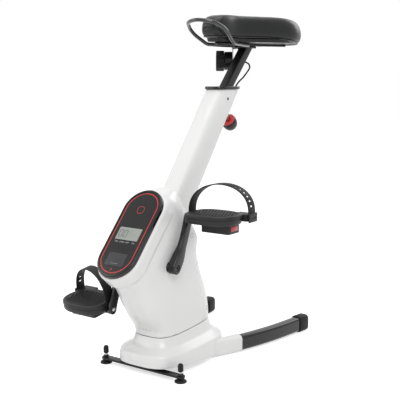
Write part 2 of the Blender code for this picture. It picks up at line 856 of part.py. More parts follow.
def build_base(machine):
    """Base cover, legs and front feet."""
    cover = add_piece("base_cover", skin(base_cover_rings(0.0)), "white_shell", machine)
    hollow = base_cover_rings(WALL)
    hollow[0] = lifted(hollow[0], -OVERCUT)
    hollow.append(lifted(hollow[-1], OVERCUT))
    cut(cover, add_tool("base_cover_hollow", skin(hollow), machine))
    for side, sign in SIDES:
        route = leg_route(sign)
        passage = swept(route[:SLEEVE_ENDS[1] + 2], leg_section(SLEEVE_WALL + GAP))
        cut(cover, add_tool("leg_passage_" + side, passage, machine))
        build_leg(side, sign, machine)
        build_foot(side, sign, machine)
    build_foot_bar(machine)


def leg_route(sign):
    """Plan curve of a leg on one side, through the middle of its tube."""
    middle = LEG_BOTTOM + LEG_HEIGHT / 2
    return smooth_route([(sign * x, y, middle) for x, y in LEG_ROUTE], LEG_STEPS)


def leg_section(spread):
    """Upright rounded rectangle of a leg tube, grown by a spread."""
    return rounded_rectangle(LEG_WIDTH + 2 * spread, LEG_HEIGHT + 2 * spread, LEG_CORNER + spread,
                             LEG_CORNER_STEPS)


def build_leg(side, sign, machine):
    """White sleeve, black curved tube and end cap of one leg."""
    route = leg_route(sign)
    add_piece("leg_tube_" + side, swept(route, leg_section(0.0)), "black_gloss", machine)
    first, last = SLEEVE_ENDS
    sleeve_shape = swept(route[first:last], leg_section(SLEEVE_WALL))
    sleeve = add_piece("leg_sleeve_" + side, sleeve_shape, "white_shell", machine)
    sleeve_bore = swept(route[:last + 1], leg_section(GAP))
    cut(sleeve, add_tool("sleeve_bore_" + side, sleeve_bore, machine))
    end = route[-1]
    ahead = (end - route[-2]).normalized()
    across, above = axes_along(ahead)
    rings = []
    for distance, spread in CAP_PROFILE:
        section = leg_section(CAP_WALL + spread)
        rings.append([end + ahead * distance + across * x + above * y for x, y in section])
    cap = add_piece("leg_cap_" + side, skin(rings), "black_rubber", machine)
    cap_bore = swept(route[-LEG_STEPS:-1] + [end + ahead * GAP], leg_section(GAP))
    cut(cap, add_tool("cap_bore_" + side, cap_bore, machine))


def build_foot(side, sign, machine):
    """Screw-in levelling foot and the cap on its stud."""
    hub = make_hub("foot_hub_" + side, machine, (sign * FOOT_SIDE, 0.0, 0.0))
    stud_top = FOOT_CAP_TOP - FOOT_CAP_EDGE
    cone = FOOT_STUD_RADIUS + FOOT_CAP_EDGE
    profile = list(FOOT_DISC_PROFILE)
    profile += [(cone, FOOT_DISC_TOP), (FOOT_STUD_RADIUS, FOOT_DISC_TOP),
                (FOOT_STUD_RADIUS, stud_top - BREAK_EDGE), (FOOT_STUD_RADIUS - BREAK_EDGE, stud_top),
                (0.0, stud_top)]
    foot = turned((0.0, 0.0, 0.0), UPWARDS, profile, FOOT_COUNT)
    add_piece("levelling_foot_" + side, foot, "black_rubber", hub)
    bore = FOOT_STUD_RADIUS + GAP
    roof = stud_top + GAP
    cap_profile = [(0.0, roof), (bore, roof), (bore, FOOT_CAP_BOTTOM), (FOOT_CAP_RADIUS, FOOT_CAP_BOTTOM),
                   (FOOT_CAP_RADIUS, stud_top), (FOOT_CAP_RADIUS - FOOT_CAP_EDGE, FOOT_CAP_TOP),
                   (0.0, FOOT_CAP_TOP)]
    cap = turned((0.0, 0.0, 0.0), UPWARDS, cap_profile, FOOT_COUNT)
    add_piece("foot_cap_" + side, cap, "black_rubber", hub)


def build_foot_bar(machine):
    """Flat cross bar between the front feet, with a weld nut at each end."""
    high = FOOT_BAR_UP + FOOT_BAR_THICKNESS
    outline = stadium(FOOT_BAR_WIDTH / 2, FOOT_SIDE + FOOT_BAR_WIDTH / 2, FOOT_COUNT)
    across = Matrix.Rotation(math.pi / 2, 4, "Z")
    bar = add_piece("front_foot_bar", slab(outline, across, FOOT_BAR_UP, high, BREAK_EDGE), "black_paint",
                    machine)
    for side, sign in SIDES:
        place = Vector((sign * FOOT_SIDE, 0.0, high - BREAK_EDGE))
        nut = rod(place, UPWARDS, FOOT_NUT_RADIUS, FOOT_NUT_HEIGHT + BREAK_EDGE, count=6)
        join(bar, add_tool("foot_nut_" + side, nut, machine))
    for side, sign in SIDES:
        hole = rod((sign * FOOT_SIDE, 0.0, 0.0), UPWARDS, FOOT_STUD_RADIUS + GAP, FOOT_CAP_TOP,
                   count=FOOT_COUNT)
        cut(bar, add_tool("foot_hole_" + side, hole, machine))


def build_casing(machine):
    """Left and right halves of the hollow casing, open at the seam and round the column."""
    panel = panel_matrix(-BEZEL_DEPTH)
    pod_outline = stadium(BEZEL_HALF_WIDTH + POD_RIM, BEZEL_HALF_LENGTH + POD_RIM, BEZEL_COUNT)
    opening_outline = stadium(BEZEL_HALF_WIDTH - POD_OPENING_TRIM, BEZEL_HALF_LENGTH - POD_OPENING_TRIM,
                              ROUND_COUNT)
    column_ups = (COLUMN_BOTTOM_UP - 2 * OVERCUT, COLUMN_TOP_UP)
    reach = COVER_BACK
    for side, sign in SIDES:
        half = add_piece("casing_" + side, skin(casing_rings(0.0)), "white_shell", machine)
        pod = slab(pod_outline, panel, -POD_DEPTH, -GAP, POD_EDGE, 2)
        join(half, add_tool("pod_" + side, pod, machine))
        opening = slab(opening_outline, panel, -POD_OPENING_DEPTH, OVERCUT)
        column = skin([column_ring(up, COLUMN_PLAY) for up in column_ups])
        shaft = rod((sign * SEAM_HALF_WIDTH / 2, CRANK_BACK, CRANK_UP), SIDEWAYS * sign, SHAFT_HOLE_RADIUS,
                    SEAM_HALF_WIDTH)
        other = box((sign * GAP / 2, -reach, 0.0), (-sign * reach, 2 * reach, COLUMN_TOP_UP))
        cut(half, *(add_tool(name + side, shape, machine) for name, shape in (
            ("casing_hollow_", casing_hollow()), ("display_opening_", opening), ("column_opening_", column),
            ("shaft_opening_", shaft), ("other_half_", other))))


def build_display(machine):
    """Bezel, face panel, window, button and board of the display."""
    panel = panel_matrix()
    bezel_outline = stadium(BEZEL_HALF_WIDTH, BEZEL_HALF_LENGTH, BEZEL_COUNT)
    bezel = add_piece("display_bezel", slab(bezel_outline, panel, -BEZEL_DEPTH, 0.0, BEZEL_EDGE, 2),
                      "black_gloss", machine)
    pocket = slab(stadium(FACE_HALF_WIDTH + GAP, FACE_HALF_LENGTH + GAP, BEZEL_COUNT), panel,
                  -BEZEL_POCKET, OVERCUT)
    well = slab(stadium(FACE_HALF_WIDTH - FACE_LEDGE, FACE_HALF_LENGTH - FACE_LEDGE, ROUND_COUNT), panel,
                -OVERCUT, OVERCUT)
    cut(bezel, add_tool("bezel_pocket", pocket, machine), add_tool("bezel_well", well, machine))
    face_outline = stadium(FACE_HALF_WIDTH, FACE_HALF_LENGTH, BEZEL_COUNT)
    face = add_piece("display_panel", slab(face_outline, panel, GAP - BEZEL_POCKET, -FACE_DROP),
                     "black_gloss", machine)
    window_place = panel @ Matrix.Translation((0.0, WINDOW_ALONG, -FACE_DROP))
    window_hole = slab(rectangle(WINDOW_WIDTH + 2 * GAP, WINDOW_HEIGHT + 2 * GAP), window_place,
                       -WINDOW_THICKNESS - GAP, OVERCUT)
    button_place = panel @ Matrix.Translation((0.0, BUTTON_ALONG, -FACE_DROP))
    button_hole = slab(rectangle(BUTTON_WIDTH + 2 * BUTTON_PLAY, BUTTON_HEIGHT + 2 * BUTTON_PLAY),
                       button_place, -OVERCUT, OVERCUT)
    cut(face, add_tool("window_hole", window_hole, machine), add_tool("button_hole", button_hole, machine))
    window = slab(rectangle(WINDOW_WIDTH, WINDOW_HEIGHT), window_place, -WINDOW_THICKNESS, 0.0)
    add_piece("display_window", window, "window", machine)
    button_hub = make_hub("button_hub", machine, button_place.translation)
    button_axes = Matrix.Translation(-button_place.translation) @ button_place
    button = slab(rounded_rectangle(BUTTON_WIDTH, BUTTON_HEIGHT, BUTTON_CORNER, 2), button_axes,
                  -BUTTON_THICKNESS, BUTTON_PROUD, BUTTON_PROUD)
    add_piece("display_button", button, "grey_plastic", button_hub)
    board_high = -BEZEL_POCKET
    board = slab(rectangle(BOARD_WIDTH, BOARD_LENGTH), panel, board_high - BOARD_THICKNESS, board_high)
    add_piece("display_board", board, "board", machine)


def mast_route():
    """Middle line of the frame's mast, from the base plate past the crank to the guide tube."""
    top = post_point(GUIDE_END_UP + MAST_ABOVE_GUIDE_END)
    stops = [Vector((0.0, MAST_FOOT_BACK, plate_up() + PLATE_THICKNESS / 2))]
    stops += [Vector((0.0, back, up)) for back, up in MAST_STOPS]
    return smooth_route(stops + [top], MAST_STEPS)


def plate_up():
    """Underside of the base plate, just over the roots of the legs."""
    return LEG_BOTTOM + LEG_HEIGHT + GAP


def build_frame(machine):
    """Welded steel frame inside the covers: plate, mast, crank shell and guide tube."""
    low_up, high_up = plate_up(), plate_up() + PLATE_THICKNESS
    plate = box((-PLATE_HALF_WIDTH, PLATE_FRONT, low_up), (PLATE_HALF_WIDTH, PLATE_BACK, high_up))
    frame = add_piece("main_frame", plate, "black_paint", machine)
    bar_top = FOOT_BAR_UP + FOOT_BAR_THICKNESS + GAP
    for side, sign in SIDES:
        tab_middle = sign * PLATE_TAB_SIDE
        tab = box((tab_middle - PLATE_TAB_HALF_WIDTH, PLATE_FRONT, bar_top),
                  (tab_middle + PLATE_TAB_HALF_WIDTH, PLATE_FRONT + PLATE_TAB_LENGTH, high_up - GAP))
        join(frame, add_tool("plate_tab_" + side, tab, machine))
    upright = SIDEWAYS.cross(UPWARDS)
    mast = swept(mast_route(), rounded_rectangle(MAST_WIDTH, MAST_DEPTH, MAST_CORNER), upright)
    shell = rod((-SHELL_HALF_WIDTH, CRANK_BACK, CRANK_UP), SIDEWAYS, SHELL_RADIUS, 2 * SHELL_HALF_WIDTH)
    axle_boss = rod((-AXLE_BOSS_HALF_WIDTH, FLYWHEEL_BACK, FLYWHEEL_UP), SIDEWAYS, AXLE_BOSS_RADIUS,
                    2 * AXLE_BOSS_HALF_WIDTH)
    axle_lug = box((-AXLE_LUG_HALF_WIDTH, AXLE_LUG_FRONT, FLYWHEEL_UP - AXLE_LUG_HALF_HEIGHT),
                   (AXLE_LUG_HALF_WIDTH, FLYWHEEL_BACK, FLYWHEEL_UP + AXLE_LUG_HALF_HEIGHT))
    pivot = brake_pivot()
    stud = rod(pivot, -SIDEWAYS, BRAKE_PIN_RADIUS, abs(FLYWHEEL_SIDE) + BRAKE_ARM_WIDTH / 2 + BRAKE_PIN_END,
               count=SMALL_COUNT)
    stud_boss = rod(pivot, -SIDEWAYS, BRAKE_EYE_RADIUS,
                    abs(FLYWHEEL_SIDE) - BRAKE_ARM_WIDTH / 2 - BRAKE_BOSS_GAP, count=SMALL_COUNT)
    cable_stop = box(*zip(CABLE_STOP_SIDE, CABLE_STOP_BACK, CABLE_STOP_UP))
    along = post_direction()
    low, high = post_point(GUIDE_END_UP), post_point(GUIDE_TOP_UP)
    bore_width = POST_WIDTH + 2 * GUIDE_PLAY
    guide_width = bore_width + 2 * GUIDE_WALL
    guide = swept((low, high), rounded_rectangle(guide_width, guide_width, GUIDE_CORNER))
    join(frame, *(add_tool(name, shape, machine) for name, shape in (
        ("mast", mast), ("crank_shell", shell), ("axle_boss", axle_boss), ("axle_lug", axle_lug),
        ("brake_boss", stud_boss), ("brake_stud", stud), ("cable_stop", cable_stop), ("guide_tube", guide))))
    guide_bore = swept((low - along * OVERCUT / 2, high + along * OVERCUT),
                       rounded_rectangle(bore_width, bore_width, POST_CORNER))
    half_reach = SEAM_HALF_WIDTH
    crank_bore = rod((-half_reach, CRANK_BACK, CRANK_UP), SIDEWAYS, BEARING_RADIUS + GAP, 2 * half_reach)
    axle_bore = rod((-half_reach, FLYWHEEL_BACK, FLYWHEEL_UP), SIDEWAYS, FLYWHEEL_SHAFT_RADIUS + GAP,
                    2 * half_reach, count=SMALL_COUNT)
    pin_start = lock_point(LOCK_PIN[0] - OVERCUT / 2)
    pin_hole = rod(pin_start, lock_direction(), LOCK_PIN_RADIUS + GAP, 2 * OVERCUT,
                   count=SMALL_COUNT)
    cut(frame, *(add_tool(name, shape, machine) for name, shape in (
        ("guide_bore", guide_bore), ("crank_bore", crank_bore), ("axle_bore", axle_bore),
        ("guide_pin_hole", pin_hole))))


def build_column(machine):
    """Column cover and the collar on its top."""
    shell = skin([column_ring(up, 0.0) for up in (COLUMN_BOTTOM_UP, COLUMN_TOP_UP)])
    cover = add_piece("column_cover", shell, "white_shell", machine)
    hollow_ups = (COLUMN_BOTTOM_UP - OVERCUT, COLUMN_TOP_UP + OVERCUT)
    hollow = skin([column_ring(up, -WALL) for up in hollow_ups])
    barrel = rod(lock_point(LOCK_BARREL[0]), lock_direction(), LOCK_BARREL_RADIUS + GAP,
                 LOCK_BARREL[1] - LOCK_BARREL[0])
    cut(cover, add_tool("column_hollow", hollow, machine), add_tool("column_barrel_hole", barrel, machine))
    edge = column_ring(COLUMN_TOP_UP, COLLAR_OVERHANG)
    rim = column_ring(COLUMN_TOP_UP, COLLAR_OVERHANG - COLLAR_EDGE)
    rings = (lifted(edge, GAP), lifted(edge, GAP + COLLAR_THICKNESS - COLLAR_EDGE),
             lifted(rim, GAP + COLLAR_THICKNESS))
    collar = add_piece("column_collar", skin(rings), "black_gloss", machine)
    centre = post_point(COLUMN_TOP_UP)
    opening_width = POST_WIDTH + 2 * GUIDE_PLAY
    reach = post_direction() * 2 * OVERCUT
    passage = swept((centre - reach, centre + reach),
                    rounded_rectangle(opening_width, opening_width, POST_CORNER))
    near = [point for point in cable_route() if abs(point.z - COLUMN_TOP_UP) < CABLE_HOLE_REACH]
    cable_hole = carried(near, circle(CABLE_RADIUS + CABLE_PLAY, SMALL_COUNT))
    cut(collar, add_tool("collar_passage", passage, machine),
        add_tool("collar_cable_hole", cable_hole, machine))


def build_crank_set(machine):
    """Axle, bearing cartridge, pulley, cranks and pedals."""
    centre = Vector((0.0, CRANK_BACK, CRANK_UP))
    bearing = pipe(centre - SIDEWAYS * BEARING_HALF_WIDTH, SIDEWAYS, BEARING_RADIUS, AXLE_RADIUS + GAP,
                   2 * BEARING_HALF_WIDTH, BREAK_EDGE)
    add_piece("crank_bearing", bearing, "steel", machine)
    hub = make_hub("crank_hub", machine, centre, -CRANK_ANGLE)
    reach = CRANK_MIDDLE - CRANK_ROOT_THICKNESS / 2 - GAP
    axle = rod(-SIDEWAYS * reach, SIDEWAYS, AXLE_RADIUS, 2 * reach, BREAK_EDGE)
    add_piece("crank_axle", axle, "steel", hub)
    build_drive_pulley(hub)
    for side, sign in SIDES:
        build_crank(side, sign, hub)
        build_spindle(side, sign, hub)
        pitch = CRANK_ANGLE + (0.0 if sign > 0 else FAR_PEDAL_PITCH)
        place = (sign * CRANK_MIDDLE, 0.0, sign * CRANK_LENGTH)
        pedal_hub = make_hub("pedal_hub_" + side, hub, place, pitch)
        build_pedal(side, sign, pedal_hub)
        build_strap(side, sign, pedal_hub)


def build_drive_pulley(hub):
    """Large belt pulley with a rim, a thin web and round lightening holes."""
    bore = AXLE_RADIUS + GAP
    half = PULLEY_WIDTH / 2
    rim = PULLEY_RADIUS - PULLEY_RIM
    flange = PULLEY_RADIUS + PULLEY_FLANGE
    groove = BELT_WIDTH / 2 + GAP
    upper = [(bore, half), (PULLEY_HUB_RADIUS, half), (PULLEY_HUB_RADIUS, PULLEY_HALF_WEB),
             (rim, PULLEY_HALF_WEB), (rim, half), (flange, half), (PULLEY_RADIUS, groove)]
    profile = upper + [(radius, -side) for radius, side in reversed(upper)]
    shape = turned(SIDEWAYS * PULLEY_SIDE, SIDEWAYS, profile, PULLEY_COUNT, wrap=True)
    pulley = add_piece("drive_pulley", shape, "grey_plastic", hub)
    for index in range(PULLEY_HOLES):
        angle = PULLEY_HOLE_TURN + math.tau * index / PULLEY_HOLES
        place = Vector((PULLEY_SIDE - half, PULLEY_HOLE_CIRCLE * math.cos(angle),
                        PULLEY_HOLE_CIRCLE * math.sin(angle)))
        hole = rod(place, SIDEWAYS, PULLEY_HOLE_RADIUS, PULLEY_WIDTH, count=SMALL_COUNT)
        cut(pulley, add_tool("pulley_hole_%d" % index, hole, hub))


def crank_stations():
    """Stations along a crank arm from its root's round end to its tip's, as (up, bow, half width)."""
    root, tip = CRANK_ROOT_WIDTH / 2, CRANK_TIP_WIDTH / 2
    stations = [(-root * math.sin(turn), 0.0, root * math.cos(turn)) for turn in reversed(CRANK_END_TURNS)]
    for index in range(1, CRANK_STEPS):
        share = index / CRANK_STEPS
        half = mix(root, CRANK_ARM_WIDTH / 2, ease(share, *CRANK_WAIST))
        stations.append((CRANK_LENGTH * share, CRANK_BOW * math.sin(math.pi * share), half))
    stations += [(CRANK_LENGTH + tip * math.sin(turn), 0.0, tip * math.cos(turn)) for turn in CRANK_END_TURNS]
    return stations


def crank_shape(sign):
    """A bowed crank arm, thicker at its root, with chamfered edges."""
    rings = []
    for up, bow, half in crank_stations():
        share = ease(up / CRANK_LENGTH, *CRANK_WAIST)
        depth = mix(CRANK_ROOT_THICKNESS, CRANK_ARM_THICKNESS, share)
        section = rounded_rectangle(depth, 2 * half, CRANK_EDGE)
        rings.append([Vector((sign * CRANK_MIDDLE + x, sign * (bow + y), sign * up)) for x, y in section])
    return skin(rings)


def build_crank(side, sign, hub):
    """One crank arm, thicker at its root, with a bolt in a recess."""
    crank = add_piece("crank_" + side, crank_shape(sign), "black_gloss", hub)
    out = SIDEWAYS * sign
    face = CRANK_MIDDLE + CRANK_ROOT_THICKNESS / 2
    floor = face - BOLT_DEPTH
    recess = rod(out * floor, out, BOLT_RADIUS + BREAK_EDGE, OVERCUT, count=SMALL_COUNT)
    hole = rod(out * (floor - OVERCUT), out, BOLT_SHANK_RADIUS + GAP, 2 * OVERCUT, count=SMALL_COUNT)
    eye_start = Vector((sign * (CRANK_MIDDLE - OVERCUT), 0.0, sign * CRANK_LENGTH))
    eye = rod(eye_start, out, SPINDLE_THREAD_RADIUS + GAP, 2 * OVERCUT, count=SMALL_COUNT)
    cut(crank, add_tool("crank_recess_" + side, recess, hub), add_tool("crank_hole_" + side, hole, hub),
        add_tool("crank_eye_" + side, eye, hub))
    shank_end = CRANK_ROOT_THICKNESS - BOLT_DEPTH - GAP
    socket_floor = BOLT_HEAD - BOLT_SOCKET_DEPTH
    bolt_profile = [(0.0, -shank_end), (BOLT_SHANK_RADIUS, -shank_end), (BOLT_SHANK_RADIUS, 0.0),
                    (BOLT_RADIUS, 0.0), (BOLT_RADIUS, BOLT_HEAD - BREAK_EDGE),
                    (BOLT_RADIUS - BREAK_EDGE, BOLT_HEAD), (BOLT_SOCKET_RADIUS, BOLT_HEAD),
                    (BOLT_SOCKET_RADIUS, socket_floor), (0.0, socket_floor)]
    bolt = turned(out * (floor + GAP), out, bolt_profile, SMALL_COUNT)
    add_piece("crank_bolt_" + side, bolt, "steel", hub)


def build_spindle(side, sign, hub):
    """Pedal spindle, threaded into the crank's eye and running into the pedal."""
    shoulder = CRANK_ARM_THICKNESS + GAP
    collar = CRANK_ARM_THICKNESS + PEDAL_CRANK_GAP - GAP
    profile = [(SPINDLE_THREAD_RADIUS, 0.0), (SPINDLE_THREAD_RADIUS, shoulder),
               (SPINDLE_COLLAR_RADIUS, shoulder), (SPINDLE_COLLAR_RADIUS, collar), (SPINDLE_RADIUS, collar),
               (SPINDLE_RADIUS, SPINDLE_REACH)]
    start = Vector((sign * (CRANK_MIDDLE - CRANK_ARM_THICKNESS / 2), 0.0, sign * CRANK_LENGTH))
    add_piece("pedal_spindle_" + side, turned(start, SIDEWAYS * sign, profile, SMALL_COUNT), "steel", hub)


def pedal_inner():
    """Distance from the crank's middle to the pedal's inner rim."""
    return CRANK_ARM_THICKNESS / 2 + PEDAL_CRANK_GAP


def pedal_middle():
    """Distance from the crank's middle to the pedal's middle."""
    return pedal_inner() + PEDAL_WIDTH / 2


def pedal_outline(sign, spread):
    """Plan outline of the platform, rounder at its outer end, grown by a spread."""
    size = (PEDAL_WIDTH / 2 + spread, PEDAL_LENGTH / 2 + spread)
    squarer = superellipse(*size, PEDAL_INNER_SQUARENESS, PEDAL_COUNT)
    rounder = superellipse(*size, PEDAL_OUTER_SQUARENESS, PEDAL_COUNT)
    return [outer if sign * outer[0] > 0.0 else inner for inner, outer in zip(squarer, rounder)]


def build_pedal(side, sign, hub):
    """Body, tread and reflector of one pedal."""
    out = SIDEWAYS * sign
    middle = out * pedal_middle()
    flat = Matrix.Translation(middle)
    platform = slab(pedal_outline(sign, 0.0), flat, PEDAL_RIM_BOTTOM, PEDAL_RIM_TOP, PEDAL_RIM_EDGE)
    body = add_piece("pedal_body_" + side, platform, "pedal_plastic", hub)
    block_place = middle + out * BLOCK_OUTWARD + Vector((0.0, BLOCK_BACKWARD, 0.0))
    block = slab(rounded_rectangle(BLOCK_WIDTH, BLOCK_LENGTH, BLOCK_CORNER), Matrix.Translation(block_place),
                 PEDAL_RIM_BOTTOM - BLOCK_DEPTH, PEDAL_RIM_BOTTOM + BLOCK_CORNER)
    boss = rod(out * (pedal_inner() + BREAK_EDGE), out, SPINDLE_BOSS_RADIUS, SPINDLE_BOSS_LENGTH)
    tab = box(middle + Vector((sign * TAB_INNER, TAB_BACK[0], TAB_UP[0])),
              middle + Vector((sign * (PEDAL_WIDTH / 2 + TAB_REACH), TAB_BACK[1], TAB_UP[1])), BREAK_EDGE)
    join(body, add_tool("pedal_block_" + side, block, hub), add_tool("pedal_boss_" + side, boss, hub),
         add_tool("strap_tab_" + side, tab, hub))
    tread_low = PEDAL_TOP - TREAD_THICKNESS
    seat = slab(pedal_outline(sign, GAP - TREAD_INSET), flat, tread_low - GAP, PEDAL_TOP + OVERCUT)
    bore_reach = SPINDLE_REACH - CRANK_ARM_THICKNESS + OVERCUT / 2
    bore = rod((0.0, 0.0, 0.0), out, SPINDLE_RADIUS + GAP, bore_reach, count=SMALL_COUNT)
    end = block_place + out * BLOCK_WIDTH / 2
    end.z = PEDAL_RIM_BOTTOM - BLOCK_DEPTH / 2
    half_face = Vector((0.0, REFLECTOR_WIDTH / 2, REFLECTOR_HEIGHT / 2))
    inside, outside = end - out * REFLECTOR_DEPTH, end + out * REFLECTOR_PROUD
    play = Vector((0.0, GAP, GAP))
    reflector_seat = box(inside - out * GAP - half_face - play, outside + out * GAP + half_face + play)
    cut(body, add_tool("tread_seat_" + side, seat, hub), add_tool("spindle_bore_" + side, bore, hub),
        add_tool("reflector_seat_" + side, reflector_seat, hub))
    add_piece("pedal_reflector_" + side, box(inside - half_face, outside + half_face), "red_plastic", hub)
    tread_plate = slab(pedal_outline(sign, -TREAD_INSET), flat, tread_low, PEDAL_TOP, BREAK_EDGE)
    tread = add_piece("pedal_tread_" + side, tread_plate, "black_rubber", hub)
    for index in range(TREAD_RIBS):
        along = (index - (TREAD_RIBS - 1) / 2) * TREAD_RIB_PITCH
        reach = Vector((TREAD_GROOVE_REACH, TREAD_GROOVE_WIDTH / 2, 0.0))
        centre = middle + Vector((0.0, along, PEDAL_TOP))
        groove = box(centre - reach - UPWARDS * TREAD_GROOVE_DEPTH, centre + reach + UPWARDS * OVERCUT)
        cut(tread, add_tool("tread_groove_%s_%d" % (side, index), groove, hub))


def strap_point(sign, angle, lift, low=False):
    """Point on the strap's arch: angle 0 is the outer end and pi the inner end."""
    half = (PEDAL_WIDTH + TAB_REACH + STRAP_THICKNESS) / 2 + STRAP_SEAT_GAP
    across = (half + lift) * math.cos(angle)
    share = (1.0 + math.cos(angle)) / 2
    rise = (STRAP_TOP - STRAP_SHOULDER + lift) * max(math.sin(angle), 0.0) ** STRAP_ROUNDNESS
    up = mix(STRAP_INNER_LOW, STRAP_LOW, share) if low else STRAP_SHOULDER + rise
    return Vector((sign * (pedal_middle() + TAB_REACH / 2 + across),
                   mix(STRAP_INNER_BACK, STRAP_OUTER_BACK, share), up))


def build_strap(side, sign, hub):
    """Arched rubber strap with punched holes, from the inner rim to the buckle on the outer tab."""
    turns = [math.pi * (1.0 - index / STRAP_COUNT) for index in range(STRAP_COUNT + 1)]
    stations = [(math.pi, True)] + [(angle, False) for angle in turns] + [(0.0, True)]
    half_width = Vector((0.0, STRAP_WIDTH / 2, 0.0))
    rings = []
    for angle, low in stations:
        outer = strap_point(sign, angle, STRAP_THICKNESS / 2, low)
        inner = strap_point(sign, angle, -STRAP_THICKNESS / 2, low)
        rings.append([outer - half_width, outer + half_width, inner + half_width, inner - half_width])
    strap = add_piece("pedal_strap_" + side, skin(rings), "black_rubber", hub)
    for index, degrees in enumerate(STRAP_HOLE_ANGLES):
        angle = math.radians(degrees)
        aim = Vector((sign * math.cos(angle), 0.0, math.sin(angle)))
        place = strap_point(sign, angle, 0.0) - aim * 2 * STRAP_THICKNESS
        hole = rod(place, aim, STRAP_HOLE_RADIUS, 4 * STRAP_THICKNESS, count=CABLE_COUNT)
        cut(strap, add_tool("strap_hole_%s_%d" % (side, index), hole, hub))
    outside = strap_point(sign, 0.0, STRAP_THICKNESS / 2 + GAP, True)
    middle_up = (TAB_UP[0] + TAB_UP[1]) / 2
    half_face = Vector((0.0, BUCKLE_WIDTH / 2, BUCKLE_HEIGHT / 2))
    centre = Vector((outside.x, outside.y, middle_up))
    buckle = box(centre - half_face, centre + SIDEWAYS * sign * BUCKLE_THICKNESS + half_face, BUCKLE_EDGE)
    add_piece("pedal_buckle_" + side, buckle, "pedal_plastic", hub)


def build_flywheel(machine):
    """Flywheel, its shaft with the small pulley, and the belt."""
    hub = make_hub("flywheel_hub", machine, (0.0, FLYWHEEL_BACK, FLYWHEEL_UP))
    bore = FLYWHEEL_SHAFT_RADIUS + GAP
    half, web = FLYWHEEL_WIDTH / 2, FLYWHEEL_WEB / 2
    rim = FLYWHEEL_RADIUS - FLYWHEEL_RIM
    upper = [(bore, half), (FLYWHEEL_HUB_RADIUS, half), (FLYWHEEL_HUB_RADIUS, web), (rim, web),
             (rim + BREAK_EDGE, half), (FLYWHEEL_RADIUS - BREAK_EDGE, half),
             (FLYWHEEL_RADIUS, half - BREAK_EDGE)]
    profile = upper + [(radius, -side) for radius, side in reversed(upper)]
    wheel = turned(SIDEWAYS * FLYWHEEL_SIDE, SIDEWAYS, profile, PULLEY_COUNT, wrap=True)
    add_piece("flywheel", wheel, "cast_iron", hub)
    reach = abs(FLYWHEEL_SIDE) + half + FLYWHEEL_SHAFT_END
    low, high = PULLEY_SIDE - PULLEY_WIDTH / 2, PULLEY_SIDE + PULLEY_WIDTH / 2
    groove = BELT_WIDTH / 2 + GAP
    flange = SMALL_PULLEY_RADIUS + PULLEY_FLANGE
    shaft_profile = [(FLYWHEEL_SHAFT_RADIUS, -reach), (FLYWHEEL_SHAFT_RADIUS, low), (flange, low),
                     (SMALL_PULLEY_RADIUS, PULLEY_SIDE - groove), (SMALL_PULLEY_RADIUS, PULLEY_SIDE + groove),
                     (flange, high), (FLYWHEEL_SHAFT_RADIUS, high), (FLYWHEEL_SHAFT_RADIUS, reach)]
    shaft = turned((0.0, 0.0, 0.0), SIDEWAYS, shaft_profile, SMALL_COUNT)
    add_piece("flywheel_shaft", shaft, "steel", hub)
    add_piece("drive_belt", belt_shape(), "black_rubber", machine)


def belt_loop(extra):
    """Side outline of the belt round both pulleys, lifted off them by an extra."""
    big = Vector((0.0, CRANK_BACK, CRANK_UP))
    small = Vector((0.0, FLYWHEEL_BACK, FLYWHEEL_UP))
    span = small - big
    heading = math.atan2(span.z, span.y)
    big_radius, small_radius = PULLEY_RADIUS + GAP, SMALL_PULLEY_RADIUS + GAP
    lean = math.acos((big_radius - small_radius) / span.length)
    points = []
    wraps = ((big, big_radius, heading + lean, math.tau - 2 * lean, BELT_STEPS[0]),
             (small, small_radius, heading - lean, 2 * lean, BELT_STEPS[1]))
    for centre, radius, start, sweep, steps in wraps:
        for step in range(steps + 1):
            angle = start + sweep * step / steps
            reach = (radius + extra) / math.cos(sweep / steps / 2)
            points.append((centre.y + reach * math.cos(angle), centre.z + reach * math.sin(angle)))
    return points


def belt_shape():
    """Flat belt round the drive pulley and the flywheel's pulley."""
    half = BELT_WIDTH / 2
    inner, outer = belt_loop(0.0), belt_loop(BELT_THICKNESS)
    rings = []
    for points, side in ((inner, -half), (inner, half), (outer, half), (outer, -half)):
        rings.append([Vector((PULLEY_SIDE + side, y, z)) for y, z in points])
    return skin(rings, wrap=True)


def brake_pivot():
    """Pivot of the magnet arm, on the circle that the arm follows round the flywheel."""
    reach = brake_inner_radius() + BRAKE_ARM_DEPTH / 2
    return Vector((0.0, FLYWHEEL_BACK + reach * math.cos(BRAKE_PIVOT_ANGLE),
                   FLYWHEEL_UP + reach * math.sin(BRAKE_PIVOT_ANGLE)))


def brake_inner_radius():
    """Radius of the arm's face that carries the magnets."""
    return FLYWHEEL_RADIUS + BRAKE_CLEARANCE + MAGNET_DEPTH


def brake_band(middle, low, high, width, first):
    """Curved band between two radii, from a station of the arm to its end."""
    side = SIDEWAYS * width / 2
    rings = []
    for index in range(first, BRAKE_ARM_STEPS + 1):
        angle = mix(BRAKE_PIVOT_ANGLE, BRAKE_END_ANGLE, index / BRAKE_ARM_STEPS)
        ray = Vector((0.0, math.cos(angle), math.sin(angle)))
        near, far = middle + ray * low, middle + ray * high
        rings.append([near - side, near + side, far + side, far - side])
    return skin(rings)


